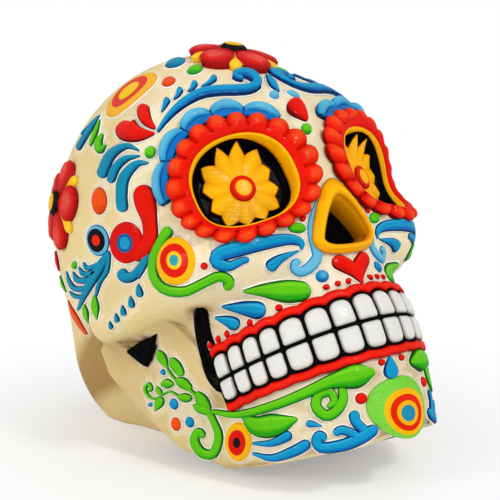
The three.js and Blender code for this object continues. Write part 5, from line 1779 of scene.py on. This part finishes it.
def white_to_camera(tree):
    """1 for rays from the camera, mirror-like rays and rays through glass, otherwise 0."""
    path = put(tree, "ShaderNodeLightPath")
    seen = path.outputs["Is Camera Ray"]
    for label in ("Is Glossy Ray", "Is Transmission Ray"):
        either = put(tree, "ShaderNodeMath", operation="MAXIMUM")
        tree.links.new(seen, either.inputs[0])
        tree.links.new(path.outputs[label], either.inputs[1])
        seen = either.outputs[0]
    return seen


def build_floor():
    """A wide quad at table height: pale matt near the skull, and white to the camera further out."""
    material = bpy.data.materials.new("studio_floor")
    material.use_nodes = True
    tree = material.node_tree
    shader = tree.nodes["Principled BSDF"]
    shader.inputs["Base Color"].default_value = linear("fbfbfa")
    shader.inputs["Roughness"].default_value = 0.9
    glow = put(tree, "ShaderNodeEmission")
    place = put(tree, "ShaderNodeTexCoord")
    far = put(tree, "ShaderNodeVectorMath", operation="LENGTH")
    fade = put(tree, "ShaderNodeMapRange", interpolation_type="SMOOTHSTEP")
    fade.inputs["From Min"].default_value, fade.inputs["From Max"].default_value = SHADOW_REACH
    both = put(tree, "ShaderNodeMath", operation="MULTIPLY")
    mix = put(tree, "ShaderNodeMixShader")
    link = tree.links.new
    link(place.outputs["Object"], far.inputs[0])
    link(far.outputs["Value"], fade.inputs["Value"])
    link(fade.outputs["Result"], both.inputs[0])
    link(white_to_camera(tree), both.inputs[1])
    link(both.outputs[0], mix.inputs["Fac"])
    link(shader.outputs[0], mix.inputs[1])
    link(glow.outputs[0], mix.inputs[2])
    link(mix.outputs[0], tree.nodes["Material Output"].inputs["Surface"])
    mesh = bpy.data.meshes.new("studio_floor")
    corners = [(-1, -1), (1, -1), (1, 1), (-1, 1)]
    mesh.from_pydata([(x * FLOOR_REACH, y * FLOOR_REACH, 0) for x, y in corners], [], [(0, 1, 2, 3)])
    mesh.materials.append(material)
    floor = bpy.data.objects.new("studio_floor", mesh)
    bpy.context.scene.collection.objects.link(floor)


def build_world():
    """White to the camera, and a plain grey level to everything else."""
    world = bpy.data.worlds.new("studio")
    world.use_nodes = True
    tree = world.node_tree
    level = tree.nodes["Background"]
    level.inputs["Strength"].default_value = AMBIENT
    level.inputs["Color"].default_value = (1, 1, 1, 1)
    white = put(tree, "ShaderNodeBackground")
    white.inputs["Color"].default_value = (1, 1, 1, 1)
    mix = put(tree, "ShaderNodeMixShader")
    tree.links.new(white_to_camera(tree), mix.inputs["Fac"])
    tree.links.new(level.outputs[0], mix.inputs[1])
    tree.links.new(white.outputs[0], mix.inputs[2])
    tree.links.new(mix.outputs[0], tree.nodes["World Output"].inputs["Surface"])
    bpy.context.scene.world = world


def build_lamp(name, energy, size, shift):
    """A square area lamp, set off from the skull along the camera's right, up and back, and turned to
    it."""
    lamp = bpy.data.lights.new(name, "AREA")
    lamp.energy = energy
    lamp.size = size
    post = bpy.data.objects.new(name, lamp)
    offset = shift[0] * view_right + shift[1] * view_up + shift[2] * view_back
    post.location = Vector(VIEW_TARGET / 1000 + offset)
    post.rotation_euler = Vector(offset).to_track_quat("Z", "Y").to_euler()
    bpy.context.scene.collection.objects.link(post)


def build_camera():
    """The photographer's camera: its axes are the columns of its matrix."""
    camera = bpy.data.cameras.new("photo_camera")
    camera.sensor_width = 36.0
    camera.lens = FOCAL_PIXELS / PICTURE_SIZE * camera.sensor_width
    post = bpy.data.objects.new("photo_camera", camera)
    axes = np.stack([view_right, view_up, view_back, view_place / 1000], -1)
    post.matrix_world = Matrix(axes.tolist() + [[0, 0, 0, 1]])
    bpy.context.scene.collection.objects.link(post)
    bpy.context.scene.camera = post


build_floor()
build_world()
build_lamp("key_lamp", **KEY_LAMP)
build_lamp("fill_lamp", **FILL_LAMP)
build_camera()
bpy.context.scene.view_settings.view_transform = "Standard"
print("Pieces:", len(made_pieces), "faces:", sum(made_pieces.values()))
